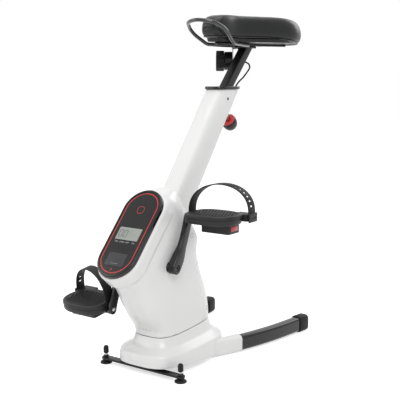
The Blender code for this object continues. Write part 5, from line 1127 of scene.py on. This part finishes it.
@dataclass
class CrankSet:
    """Bowed crank arms on the axle, with their bolts."""

    back: float = 0.034
    up: float = 0.268
    length: float = 0.128
    angle: float = math.radians(26.5)
    middle: float = 0.0755
    root_width: float = 0.032
    arm_width: float = 0.024
    tip_width: float = 0.026
    root_thickness: float = 0.020
    arm_thickness: float = 0.013
    bow: float = 0.006
    edge: float = 0.0035
    waist: Pair = (0.12, 0.50)
    steps: int = 24
    end_turns: Sequence[float] = tuple(math.radians(88.0) * index / 9 for index in range(10))
    most_edge: float = 0.8
    socket_depth: float = 0.006
    socket_radius: float = 0.0083
    screw_radius: float = 0.0045
    eye_radius: float = 0.0053
    reach: float = 0.02
    shank_radius: float = 0.0042
    pedal_pitches: Pair = (0.0, math.radians(8.0))
    bolt_head: Profile = ((0.0075, 0.0), (0.0075, 0.0036), (0.0072, 0.0042), (0.0066, 0.0045), (0.0034, 0.0045),
                          (0.0030, 0.0041), (0.0030, 0.0015), (0.0, 0.0015))

    def frame(self) -> Matrix:
        """Frame of the turned cranks at rest."""
        return Matrix.Translation((0.0, self.back, self.up)) @ Matrix.Rotation(-self.angle, 4, "X")

    def pedal_frame(self, sign: int, pitch: float) -> Matrix:
        """Frame of a pedal at rest."""
        place = self.frame() @ Vector((sign * self.middle, 0.0, sign * self.length))
        return Matrix.Translation(place) @ Matrix.Rotation(pitch, 4, "X")

    def shape(self, sign: int) -> Shape:
        """One arm in the crank's own frame."""
        root, tip = self.root_width / 2, self.tip_width / 2
        stations = [(-root * math.sin(turn), 0.0, root * math.cos(turn)) for turn in reversed(self.end_turns)]
        for index in range(1, self.steps):
            share = index / self.steps
            half = mix(root, self.arm_width / 2, ease(share, *self.waist))
            stations.append((self.length * share, self.bow * math.sin(math.pi * share), half))
        stations += [(self.length + tip * math.sin(turn), 0.0, tip * math.cos(turn)) for turn in self.end_turns]
        rings = []
        for up, bow, half in stations:
            depth = mix(self.root_thickness, self.arm_thickness, ease(up / self.length, *self.waist))
            section = rounded_rectangle(depth, 2 * half, min(self.edge, half * self.most_edge), 4)
            rings.append([Vector((sign * self.middle + x, sign * (bow + y), sign * up)) for x, y in section])
        return loft(rings)

    def build(self, shop: Workshop) -> None:
        """Make both arms and their bolts."""
        frame_at_rest = self.frame()
        for side, sign in SIDES:
            out = SIDEWAYS * sign
            arm = shop.raw("crank_%s_arm" % side, moved(self.shape(sign), frame_at_rest))
            floor = self.middle + self.root_thickness / 2 - self.socket_depth
            eye = Vector((sign * (self.middle - self.reach), 0.0, sign * self.length))
            tools = [rod(out * floor, out, self.socket_radius, self.reach, 40),
                     rod(out * (floor - self.reach), out, self.screw_radius, 2 * self.reach, 40),
                     rod(eye, out, self.eye_radius, 2 * self.reach, 32)]
            shop.carve(arm, [moved(tool, frame_at_rest) for tool in tools])
            shop.publish(arm, BLACK_GLOSS, "crank", "crank_" + side)
            shank = self.root_thickness - self.socket_depth - GAP
            profile = [(0.0, -shank), (self.shank_radius, -shank), (self.shank_radius, 0.0), *self.bolt_head]
            bolt = moved(turned(out * (floor + GAP), out, profile, 40), frame_at_rest)
            shop.make("crank_bolt_%s_head" % side, bolt, DARK_STEEL, "crank", "crank_bolt_" + side)


@dataclass
class Pedal:
    """One pedal: moulded platform, rubber tread with pips, strap with slots, buckle and reflector."""

    side: str
    sign: int
    pitch: float
    crank: CrankSet
    width: float = 0.134
    length: float = 0.112
    inner_power: float = 3.4
    outer_power: float = 2.2
    count: int = 112
    top: float = 0.0195
    rim_bottom: float = -0.0035
    rim: tuple = ((-0.0035, -0.0030), (-0.0026, -0.0017), (-0.0005, -0.0008), (0.0088, -0.0008), (0.0091, -0.0015),
                  (0.0100, -0.0015), (0.0104, 0.0), (0.0155, 0.0), (0.0173, -0.0007), (0.0182, -0.0018),
                  (0.0185, -0.0030))
    gap: float = 0.004
    block_plan: Triple = (0.080, 0.050, 0.006)
    block_shift: float = 0.010
    block_ups: Pair = (-0.024, 0.006)
    boss_start: float = 0.0008
    boss: Triple = (0.012, 0.030, 0.0008)
    tab_start: Triple = (0.028, 0.032, -0.0005)
    tab_end: Pair = (0.070, 0.016)
    tab_reach: float = 0.004
    tab_edge: float = 0.0008
    bore: Pair = (0.0063, 0.107)
    reflector_out: float = 0.040
    reflector_drop: float = 0.012
    reflector_half: Triple = (0.0, 0.015, 0.006)
    reflector_depths: Pair = (0.002, 0.001)
    reflector_edge: float = 0.0004
    tread_inset: float = 0.007
    tread_thickness: float = 0.003
    tread_drop: float = 0.0012
    tread_edge: float = 0.0006
    pip_margin: float = 0.014
    pip_pitch: float = 0.0085
    pip_power: float = 2.6
    pip_sink: float = 0.0002
    pip: Profile = ((0.0, 0.0), (0.0030, 0.0), (0.0026, 0.0010), (0.0019, 0.0013), (0.0, 0.0014))
    strap_width: float = 0.030
    strap_thickness: float = 0.0024
    strap_low: float = -0.0005
    strap_inner_low: float = 0.0095
    strap_shoulder: float = 0.0145
    strap_top: float = 0.0865
    strap_backs: Pair = (0.005, 0.051)
    strap_play: float = 0.0006
    strap_power: float = 0.8
    strap_steps: int = 64
    strap_corner: float = 0.0009
    slot_degrees: tuple[float, ...] = (12.0, 22.0, 32.0, 42.0, 52.0, 62.0)
    slot_half: Pair = (0.0022, 0.0050)
    slot_depth: float = 0.010
    buckle_up: float = 0.00775
    buckle_half: Triple = (0.0, 0.018, 0.011)
    buckle_thickness: float = 0.0035
    buckle_edge: float = 0.0011
    groove_half: Triple = (0.0, 0.013, 0.0016)
    groove_floor: float = 0.6

    def frame(self) -> Matrix:
        """The pedal's own frame at rest."""
        return self.crank.pedal_frame(self.sign, self.pitch)

    def inner(self) -> float:
        """Distance from the crank's middle to the platform's inner rim."""
        return self.crank.arm_thickness / 2 + self.gap

    def middle(self) -> float:
        """Distance from the crank's middle to the platform's middle."""
        return self.inner() + self.width / 2

    def outline(self, spread: float) -> Outline:
        """Plan outline, rounder at its outer end."""
        squarer, rounder = (superellipse(self.width / 2 + spread, self.length / 2 + spread, power, self.count)
                            for power in (self.inner_power, self.outer_power))
        return [outer if self.sign * outer[0] > 0.0 else near for near, outer in zip(squarer, rounder)]

    def strap_point(self, angle: float, lift: float, low: bool = False) -> Vector:
        """Point on the strap's arch: angle 0 is the outer end and pi the inner end."""
        half = (self.width + self.tab_reach + self.strap_thickness) / 2 + self.strap_play
        share = (1.0 + math.cos(angle)) / 2
        rise = (self.strap_top - self.strap_shoulder + lift) * max(math.sin(angle), 0.0) ** self.strap_power
        up = mix(self.strap_inner_low, self.strap_low, share) if low else self.strap_shoulder + rise
        return Vector((self.sign * (self.middle() + self.tab_reach / 2 + (half + lift) * math.cos(angle)),
                       mix(*self.strap_backs, share), up))

    def build(self, shop: Workshop) -> None:
        """Make every piece of the pedal."""
        rest, out, body = self.frame(), SIDEWAYS * self.sign, "pedal_" + self.side
        middle = out * self.middle()
        flat = Matrix.Translation(middle)
        platform = loft([[flat @ Vector((x, y, up)) for x, y in self.outline(spread)] for up, spread in self.rim])
        block_place = middle + (out + BACKWARDS) * self.block_shift
        under = slab(rounded_rectangle(*self.block_plan), Matrix.Translation(block_place),
                     *(self.rim_bottom + up for up in self.block_ups))
        boss = turned(out * (self.inner() + self.boss_start), out, round_profile(*self.boss, 2))
        side, back, up = self.tab_start
        tab = block(middle + Vector((self.sign * side, back, up)),
                    middle + Vector((self.sign * (self.width / 2 + self.tab_reach), *self.tab_end)), self.tab_edge)
        base = shop.raw("pedal_body_%s_platform" % self.side, platform)
        shop.combine(base, [under, boss, tab], "UNION")
        tread_low = self.top - self.tread_thickness
        seat = slab(self.outline(GAP - self.tread_inset), flat, tread_low - GAP, self.top + OVERCUT)
        end = block_place + out * self.reflector_out
        end.z = self.rim_bottom - self.reflector_drop
        face, play = Vector(self.reflector_half), Vector((0.0, GAP, GAP))
        inside, outside = (end + out * reach for reach in (-self.reflector_depths[0], self.reflector_depths[1]))
        pocket = block(inside - out * GAP - face - play, outside + out * GAP + face + play)
        shop.carve(base, [seat, rod(Vector(), out, *self.bore, 32), pocket])
        base.data.transform(rest)
        shop.publish(base, PEDAL_PLASTIC, body, "pedal_body_" + self.side)
        lens = moved(block(inside - face, outside + face, self.reflector_edge), rest)
        shop.make("pedal_reflector_%s_lens" % self.side, lens, RED_PLASTIC, body, "pedal_reflector_" + self.side)
        self.tread(shop, rest, middle, tread_low, body)
        self.strap(shop, rest, body)

    def tread(self, shop: Workshop, rest: Matrix, middle: Vector, low: float, body: str) -> None:
        """Rubber tread: a plate with rows of raised pips."""
        height = self.top - self.tread_drop
        plate = slab(self.outline(-self.tread_inset), Matrix.Translation(middle), low, height, self.tread_edge, 2)
        shop.make("pedal_tread_%s_plate" % self.side, moved(plate, rest), BLACK_RUBBER, body,
                  "pedal_tread_" + self.side)
        shape = bmesh.new()
        reach_x, reach_y = self.width / 2 - self.pip_margin, self.length / 2 - self.pip_margin
        rows, columns = int(reach_y / self.pip_pitch), int(reach_x / self.pip_pitch)
        for row in range(-rows, rows + 1):
            for column in range(-columns, columns + 1):
                x, y = column * self.pip_pitch + (row % 2) * self.pip_pitch / 2, row * self.pip_pitch
                if (abs(x) / reach_x) ** self.pip_power + (abs(y) / reach_y) ** self.pip_power < 1.0:
                    shape.verts.new(rest @ (middle + Vector((x, y, height - self.pip_sink))))
        pips = shop.raw("pedal_pips_" + self.side, shape)
        pip = moved(turned(Vector(), UPWARDS, self.pip, 10), Matrix.Rotation(self.pitch, 4, "X"))
        Scatter("tread_pips").grow(shop, pips, pip, BLACK_RUBBER)
        shop.publish(pips, BLACK_RUBBER, body)

    def strap(self, shop: Workshop, rest: Matrix, body: str) -> None:
        """Arched strap with a row of slots, and the buckle on its outer end."""
        count, thick = self.strap_steps, self.strap_thickness / 2
        stations = [(math.pi, True)] + [(math.pi * (1.0 - i / count), False) for i in range(count + 1)] + [(0.0, True)]
        section = rounded_rectangle(self.strap_width, self.strap_thickness, self.strap_corner, 3)
        rings = []
        for angle, low in stations:
            centre = self.strap_point(angle, 0.0, low)
            ray = self.strap_point(angle, thick, low) - centre
            rings.append([centre + BACKWARDS * x + ray * (y / thick) for x, y in section])
        strap = shop.raw("pedal_strap_%s_band" % self.side, loft(rings))
        slots = []
        for angle in map(math.radians, self.slot_degrees):
            aim = Vector((self.sign * math.cos(angle), 0.0, math.sin(angle)))
            place = self.strap_point(angle, 0.0) - aim * self.slot_depth / 2
            matrix = square_frame(BACKWARDS, aim.cross(BACKWARDS), aim, place) @ Matrix.Rotation(QUARTER, 4, "Z")
            slots.append(slab(stadium(*self.slot_half, 16), matrix, 0.0, self.slot_depth))
        shop.carve(strap, slots)
        strap.data.transform(rest)
        shop.publish(strap, BLACK_RUBBER, body, "pedal_strap_" + self.side)
        centre = self.strap_point(0.0, thick + GAP, True)
        centre.z = self.buckle_up
        face, slit = Vector(self.buckle_half), Vector(self.groove_half)
        thickness = SIDEWAYS * self.sign * self.buckle_thickness
        buckle = shop.raw("pedal_buckle_%s_clip" % self.side,
                          block(centre - face, centre + thickness + face, self.buckle_edge))
        shop.carve(buckle, [block(centre + thickness * self.groove_floor - slit, centre + thickness * 2 + slit)])
        buckle.data.transform(rest)
        shop.publish(buckle, PEDAL_PLASTIC, body, "pedal_buckle_" + self.side)


@dataclass
class Saddle:
    """Padded saddle with a narrow nose, its shell and the grip bar round the nose."""

    front: float = 0.285
    back: float = 0.626
    nose_half: float = 0.0445
    half_width: float = 0.130
    flare: Pair = (0.16, 0.78)
    bottom: float = 0.825
    top: float = 0.884
    rear_drop: float = 0.015
    drop_start: float = 0.45
    end_power: float = 0.55
    side_power: float = 0.50
    # A layer has its scale, its share of the height and its share of the rear drop.
    layers: tuple = ((0.87, 0.00, 0.0), (0.90, 0.00, 1.0), (0.965, 0.08, 1.0), (1.00, 0.30, 0.9), (0.99, 0.58, 0.6),
                     (0.94, 0.82, 0.4), (0.82, 0.96, 0.2), (0.55, 1.00, 0.1))
    crown: Pair = (0.25, 0.05)
    count: int = 128
    between: int = 3
    undersize: float = 0.0008
    pan: Profile = ((0.82, 0.8157), (0.835, 0.8160), (0.84, 0.8172), (0.86, 0.8247))
    quick_melt: tuple[float, int] = (0.004, 4)
    full_melt: tuple[float, int] = (0.0045, 3)
    swell: float = 0.0030
    pressure: float = 4.0
    last_frame: int = 20
    fill: float = 0.9
    piping_scale: float = 0.927
    piping_lift: float = 0.0036
    piping_radius: float = 0.0014
    piping_count: int = 160
    bar_radius: float = 0.0050
    bar_steps: int = 8
    bar_stops: tuple = ((0.0198, 0.4530, 0.8090), (0.0285, 0.4100, 0.8090), (0.0385, 0.3650, 0.8098),
                        (0.0440, 0.3450, 0.8112), (0.0480, 0.3250, 0.8205), (0.0530, 0.3029, 0.8329),
                        (0.0535, 0.2834, 0.8453), (0.0480, 0.2673, 0.8545), (0.0385, 0.2513, 0.8616),
                        (0.0200, 0.2395, 0.8655), (0.0, 0.2350, 0.8670))

    def ring(self, scale: float, up: float, follow: float, count: int = 96, shrink: float = 0.0) -> Ring:
        """Outline at a height; its rear hangs lower by a share of the drop."""
        middle, half_length = (self.front + self.back) / 2, (self.back - self.front) / 2
        start = mix(self.front, self.back, self.drop_start)
        ring = []
        for index in range(count):
            angle = math.tau * index / count
            across, along = math.cos(angle), math.sin(angle)
            reach = half_length * math.copysign(abs(along) ** self.end_power, along)
            share = (middle + reach - self.front) / (self.back - self.front)
            half = mix(self.nose_half, self.half_width, ease(share, *self.flare)) * scale - shrink
            x = half * math.copysign(abs(across) ** self.side_power, across)
            y = middle + reach * (scale - shrink / half_length)
            ring.append(Vector((x, y, up - self.rear_drop * follow * ease(y, start, self.back))))
        return ring

    def build(self, shop: Workshop) -> None:
        """Make the cushion, its seam, the shell and the bar."""
        self.cushion(shop)
        pan = loft([self.ring(scale, up, 0.0) for scale, up in self.pan])
        shop.make("saddle_pan_shell", pan, BLACK_PAINT, "seat", "saddle_pan")
        left = [Vector(stop) for stop in self.bar_stops]
        right = [Vector((-side, back, up)) for side, back, up in self.bar_stops[-2::-1]]
        route = smooth_route(left + right, self.bar_steps)
        shop.make("grip_bar_loop", sweep(route, circle(self.bar_radius, 24)), BAR_GLOSS, "seat", "grip_bar")

    def cushion(self, shop: Workshop) -> None:
        """The padded form, blown up a little inside its cover, and the piping round its foot."""
        shrink = self.undersize
        height = self.top - self.bottom - shrink
        rings = [self.ring(scale, self.bottom + height * share, follow, self.count, shrink)
                 for scale, share, follow in self.layers]
        crown, follow = self.crown
        closing = self.ring(crown, self.top - shrink, follow, self.count)
        pad = shop.raw("saddle_cushion_pad", loft(rings[:2] + densify(rings[1:], self.between)[1:] + [closing]))
        shop.melt(pad, *self.full_melt)
        self.inflate(shop, pad)
        smooth = pad.modifiers.new("round", "SUBSURF")
        smooth.levels = smooth.render_levels = 1
        shop.settle(pad)
        shop.publish(pad, VINYL, "seat", "saddle_cushion", sharp=60.0)
        seam = self.ring(self.piping_scale, self.bottom + self.piping_lift, 1.0, self.piping_count)
        shop.make("saddle_piping", sweep(seam + seam[:3], circle(self.piping_radius, 10)), VINYL, "seat")

    def inflate(self, shop: Workshop, pad: Piece) -> None:
        """Blow the cover up under pressure and cap how far each point moves.

        Args:
            shop: The workshop.
            pad: The closed form.
        """
        start = [vertex.co.copy() for vertex in pad.data.vertices]
        cloth = pad.modifiers.new("cover", "CLOTH")
        cloth.settings.use_pressure = True
        cloth.settings.uniform_pressure_force = self.pressure
        cloth.settings.effector_weights.gravity = 0.0
        scene = bpy.context.scene
        for number in range(1, self.last_frame + 1):
            scene.frame_set(number)
        shop.settle(pad)
        scene.frame_set(1)
        for vertex, before in zip(pad.data.vertices, start):
            shift = vertex.co - before
            if shift.length > self.swell:
                vertex.co = before + shift.normalized() * self.swell
        report.info("%s: cover blown up", pad.name)


@dataclass
class Cable:
    """Tension cable behind the post, held all the way to its stop on the mast."""

    radius: float = 0.0022
    side: float = 0.0125
    loop: tuple = ((-0.0180, 0.4655, 0.7670), (-0.0040, 0.4780, 0.7640), (0.0030, 0.4840, 0.7590),
                   (0.0075, 0.4825, 0.7500), (0.0105, 0.4700, 0.7410), (0.0125, 0.4415, 0.7225))
    below: tuple = ((0.3980, 0.6940), (0.3030, 0.5920), (0.2400, 0.5243), (0.2120, 0.4935), (0.1935, 0.4630),
                    (0.1760, 0.4330), (0.1585, 0.4060), (0.1400, 0.3850), (0.133, 0.3710))
    start: tuple = (-0.0317, 0.4571, 0.7675)
    bend: Pair = (0.022, 0.080)
    steps: int = 6

    def route(self) -> Ring:
        """The cable's line."""
        stops = [self.start, *self.loop, *((self.side, back, up) for back, up in self.below)]
        return smooth_route(stops, self.steps)

    def build(self, shop: Workshop, column: Column, post: Post) -> None:
        """Make the cable in one fixed piece, from inside the column to its loop above the collar."""
        cable = shop.raw("tension_cable_sheath", sweep(self.route(), circle(self.radius, 16)))
        start = post.point(column.top_up) + post.direction() * self.bend[0]
        shop.publish(cable, BLACK_RUBBER, "base", "tension_cable",
                     across=("seat", start, start + post.direction() * self.bend[1]))


@dataclass
class Dial:
    """Tension dial beside the post: plate, fixed base and fluted knob."""

    turn: float = math.radians(35.0)
    side: float = -0.033
    back: float = 0.4562
    up: float = 0.7675
    base_radius: float = 0.0256
    base_length: float = 0.0215
    knob_radius: float = 0.0285
    knob_length: float = 0.0225
    lobes: int = 9
    lobe_steps: int = 16
    flute: float = 0.0018
    plate_half: float = 0.00125
    base_edge: float = 0.0008
    base_rings: Profile = ((0.0, -0.0060), (0.0006, -0.0056), (0.0006, -0.0048), (0.0, -0.0044), (0.0, -0.0015),
                           (0.0005, -0.0004), (0.0015, 0.0))
    spigot_radius: float = 0.005
    spigot_length: float = 0.014
    knob_play: float = 0.001
    knob_edge: float = 0.0022
    knob_face: Profile = ((0.0, 0.0060), (-0.0008, 0.0068), (-0.0008, 0.0150))
    flute_depth: float = 0.006
    socket_start: float = -0.02
    socket: Pair = (0.0053, 0.0343)

    def out(self) -> Vector:
        """Unit vector out of the dial's face."""
        return Vector((-math.cos(self.turn), -math.sin(self.turn), 0.0))

    def point(self, distance: float) -> Vector:
        """Point on the dial's axis."""
        return Vector((self.side, self.back, self.up)) + self.out() * distance

    def build(self, shop: Workshop) -> None:
        """Make the base and the knob."""
        out, radius, spigot = self.out(), self.base_radius, self.spigot_radius
        low = self.plate_half + GAP
        high = low + self.base_length
        tip = high + self.knob_play + self.spigot_length
        base = [(0.0, low), (radius - self.base_edge, low), (radius, low + self.base_edge),
                *((radius - shrink, high + rise) for shrink, rise in self.base_rings),
                (spigot, high), (spigot, tip), (0.0, tip)]
        shop.make("dial_base_housing", turned(self.point(0.0), out, base), BLACK_PAINT, "seat", "dial_base")
        start, across = self.point(high + self.knob_play), UPWARDS.cross(out)
        layers = first_edge(self.knob_edge, 4) + last_edge(self.knob_length, self.knob_edge, 4)
        layers += [(self.knob_length + rise, shrink) for rise, shrink in self.knob_face]
        count = self.lobes * self.lobe_steps
        rings = []
        for distance, shrink in layers:
            fade = max(0.0, 1.0 - shrink / self.flute_depth)
            ring = []
            for index in range(count):
                angle = math.tau * index / count
                dip = self.flute * fade * (0.5 - 0.5 * math.cos(self.lobes * angle)) ** 2
                ring.append(start + out * distance + (across * math.cos(angle) + UPWARDS * math.sin(angle))
                            * (self.knob_radius - shrink - dip))
            rings.append(ring)
        knob = shop.raw("tension_knob_grip", loft(rings))
        shop.carve(knob, [rod(start + out * self.socket_start, out, *self.socket, 32)])
        shop.publish(knob, BLACK_RUBBER, "tension_knob", "tension_knob")


@dataclass(frozen=True)
class RefinedNode:
    """A solid that already has its shape, given broken edges and smooth shading."""

    node: str
    body: str
    finish: Finish
    edge: float = 0.0
    sharp: float = 40.0
    nearest: float = 0.00001
    flat: float = math.radians(0.5)
    crisp: float = math.radians(40.0)

    def build(self, shop: Workshop) -> None:
        """Copy the solid, merge it, break its edges and stand in for it."""
        shape = bmesh.new()
        shape.from_mesh(frame["nodes"][self.node].data)
        bmesh.ops.remove_doubles(shape, verts=shape.verts, dist=self.nearest)
        bmesh.ops.dissolve_limit(shape, angle_limit=self.flat, verts=shape.verts, edges=shape.edges)
        if self.edge:
            edges = [edge for edge in shape.edges if edge.is_manifold and edge.calc_face_angle(0.0) > self.crisp]
            bmesh.ops.bevel(shape, geom=edges, offset=self.edge, segments=2, profile=0.5, affect="EDGES",
                            clamp_overlap=True)
        bmesh.ops.translate(shape, vec=(0.0, -FEET_LINE_Y, 0.0), verts=shape.verts)
        shop.make(self.node + "_refined", shape, self.finish, self.body, self.node, sharp=self.sharp)


REFINED: tuple[RefinedNode, ...] = (
    RefinedNode("saddle_clamp", "seat", BLACK_PAINT, 0.0006),
    RefinedNode("dial_plate", "seat", STEEL, 0.0003),
    RefinedNode("saddle_rails", "seat", BLACK_PAINT, sharp=60.0),
    *(RefinedNode("pedal_spindle_" + side, "crank", STEEL, sharp=60.0) for side, _ in SIDES),
    RefinedNode("lock_barrel", "base", STEEL, sharp=50.0),
    RefinedNode("lock_pin", "lock_pin", STEEL, sharp=50.0),
    RefinedNode("flywheel", "flywheel", CAST_IRON, sharp=30.0),
    RefinedNode("drive_pulley", "crank", GREY_PLASTIC, sharp=30.0),
)


@dataclass
class Studio:
    """Pale floor, soft lamps and the camera at the photograph's angle."""

    camera_place: Triple = (1.2185, -1.491, 0.72)
    heading: Pair = (-0.5736, 0.8192)
    pitch_down: float = math.radians(8.565)
    lens: float = 72.9
    sensor: float = 36.0
    ambient: float = 0.42
    floor_reach: float = 12.0
    floor_colour: tuple[float, ...] = (0.86, 0.86, 0.86, 1.0)
    floor_roughness: float = 0.6
    floor_lift: float = 0.62
    lamp_aim: Triple = (0.0, 0.0, 0.4)
    lamps: tuple = (
        ("key", (1.6, -1.9, 2.3), 1.6, 38.0), ("fill", (-1.9, -1.5, 1.3), 1.8, 13.0),
        ("back", (0.6, 2.4, 1.9), 1.6, 16.0), ("overhead", (0.0, 0.0, 2.8), 2.0, 20.0),
    )

    def build(self) -> None:
        """Set the camera, lamps, floor and world."""
        scene = bpy.context.scene
        scene.view_settings.view_transform = "Standard"
        camera = add_object("camera", bpy.data.cameras.new("camera"))
        camera.data.lens, camera.data.sensor_width = self.lens, self.sensor
        side, back, up = self.camera_place
        camera.location = (side, back + FEET_LINE_Y, up)
        ahead = Vector((*self.heading, 0.0)).normalized() * math.cos(self.pitch_down)
        ahead.z = -math.sin(self.pitch_down)
        camera.rotation_euler = ahead.to_track_quat("-Z", "Y").to_euler()
        scene.camera = camera
        for name, place, size, power in self.lamps:
            light = bpy.data.lights.new(name, "AREA")
            light.shape, light.size, light.energy = "DISK", size, power
            lamp = add_object(name, light)
            lamp.location = place
            lamp.rotation_euler = (Vector(self.lamp_aim) - Vector(place)).to_track_quat("-Z", "Y").to_euler()
        self.world(scene)
        self.floor()

    def reckon(self, tree: Tree, operation: str, first: Socket, second: Socket | float) -> Socket:
        """One step of arithmetic."""
        step = add_node(tree, "ShaderNodeMath", {0: first, 1: second})
        step.operation = operation
        return step.outputs["Value"]

    def looked_at(self, tree: Tree) -> Socket:
        """A value of 1 for rays that show the surroundings and 0 for those that light the object."""
        path = tree.nodes.new("ShaderNodeLightPath")
        value = path.outputs["Is Camera Ray"]
        for other in ("Is Glossy Ray", "Is Transmission Ray"):
            value = self.reckon(tree, "MAXIMUM", value, path.outputs[other])
        return value

    def world(self, scene: bpy.types.Scene) -> None:
        """A world that shows white to the camera and lights the object more gently."""
        scene.world = bpy.data.worlds.new("studio")
        scene.world.use_nodes = True
        tree = scene.world.node_tree
        strength = add_node(tree, "ShaderNodeMapRange", {
            "Value": self.looked_at(tree), "To Min": self.ambient, "To Max": 1.0}).outputs["Result"]
        set_inputs(tree, tree.nodes["Background"], {"Color": (1.0, 1.0, 1.0, 1.0), "Strength": strength})

    def floor(self) -> None:
        """A pale floor that turns white away from the object's shadow."""
        mesh = bpy.data.meshes.new("floor")
        plan = ((-1, -1), (1, -1), (1, 1), (-1, 1))
        mesh.from_pydata([(x * self.floor_reach, y * self.floor_reach, 0.0) for x, y in plan], [], [(0, 1, 2, 3)])
        made = bpy.data.materials.new("floor")
        made.use_nodes = True
        tree = made.node_tree
        shader = set_inputs(tree, tree.nodes["Principled BSDF"], {
            "Base Color": self.floor_colour, "Roughness": self.floor_roughness})
        lift = self.reckon(tree, "MULTIPLY", self.looked_at(tree), self.floor_lift)
        glow = add_node(tree, "ShaderNodeEmission", {"Strength": lift})
        blend = add_node(tree, "ShaderNodeAddShader", {0: shader.outputs["BSDF"], 1: glow.outputs["Emission"]})
        set_inputs(tree, tree.nodes["Material Output"], {"Surface": blend.outputs["Shader"]})
        mesh.materials.append(made)
        add_object("floor", mesh)


def corners(box: tuple[Vector, Vector]) -> list[list[float]]:
    """A box as plain lists."""
    return [list(box[0]), list(box[1])]


def main() -> None:
    """Build every sub-assembly in order."""
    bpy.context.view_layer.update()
    shop = Workshop()
    Studio().build()
    casing, column, post, lock, legs, cable = Casing(), Column(), Post(), HeightLock(), Legs(), Cable()
    casing.build(shop, column)
    BaseCover().build(shop, casing, legs)
    column.build(shop, lock, post, cable)
    legs.build(shop)
    Feet().build(shop)
    Display().build(shop, casing)
    cranks = CrankSet()
    cranks.build(shop)
    for (side, sign), pitch in zip(SIDES, cranks.pedal_pitches):
        Pedal(side, sign, pitch, cranks).build(shop)
    post.build(shop, lock)
    lock.build(shop)
    Saddle().build(shop)
    Dial().build(shop)
    cable.build(shop, column, post)
    for refined in REFINED:
        refined.build(shop)
    shop.dress_nodes()


if __name__ == "__main__":
    main()
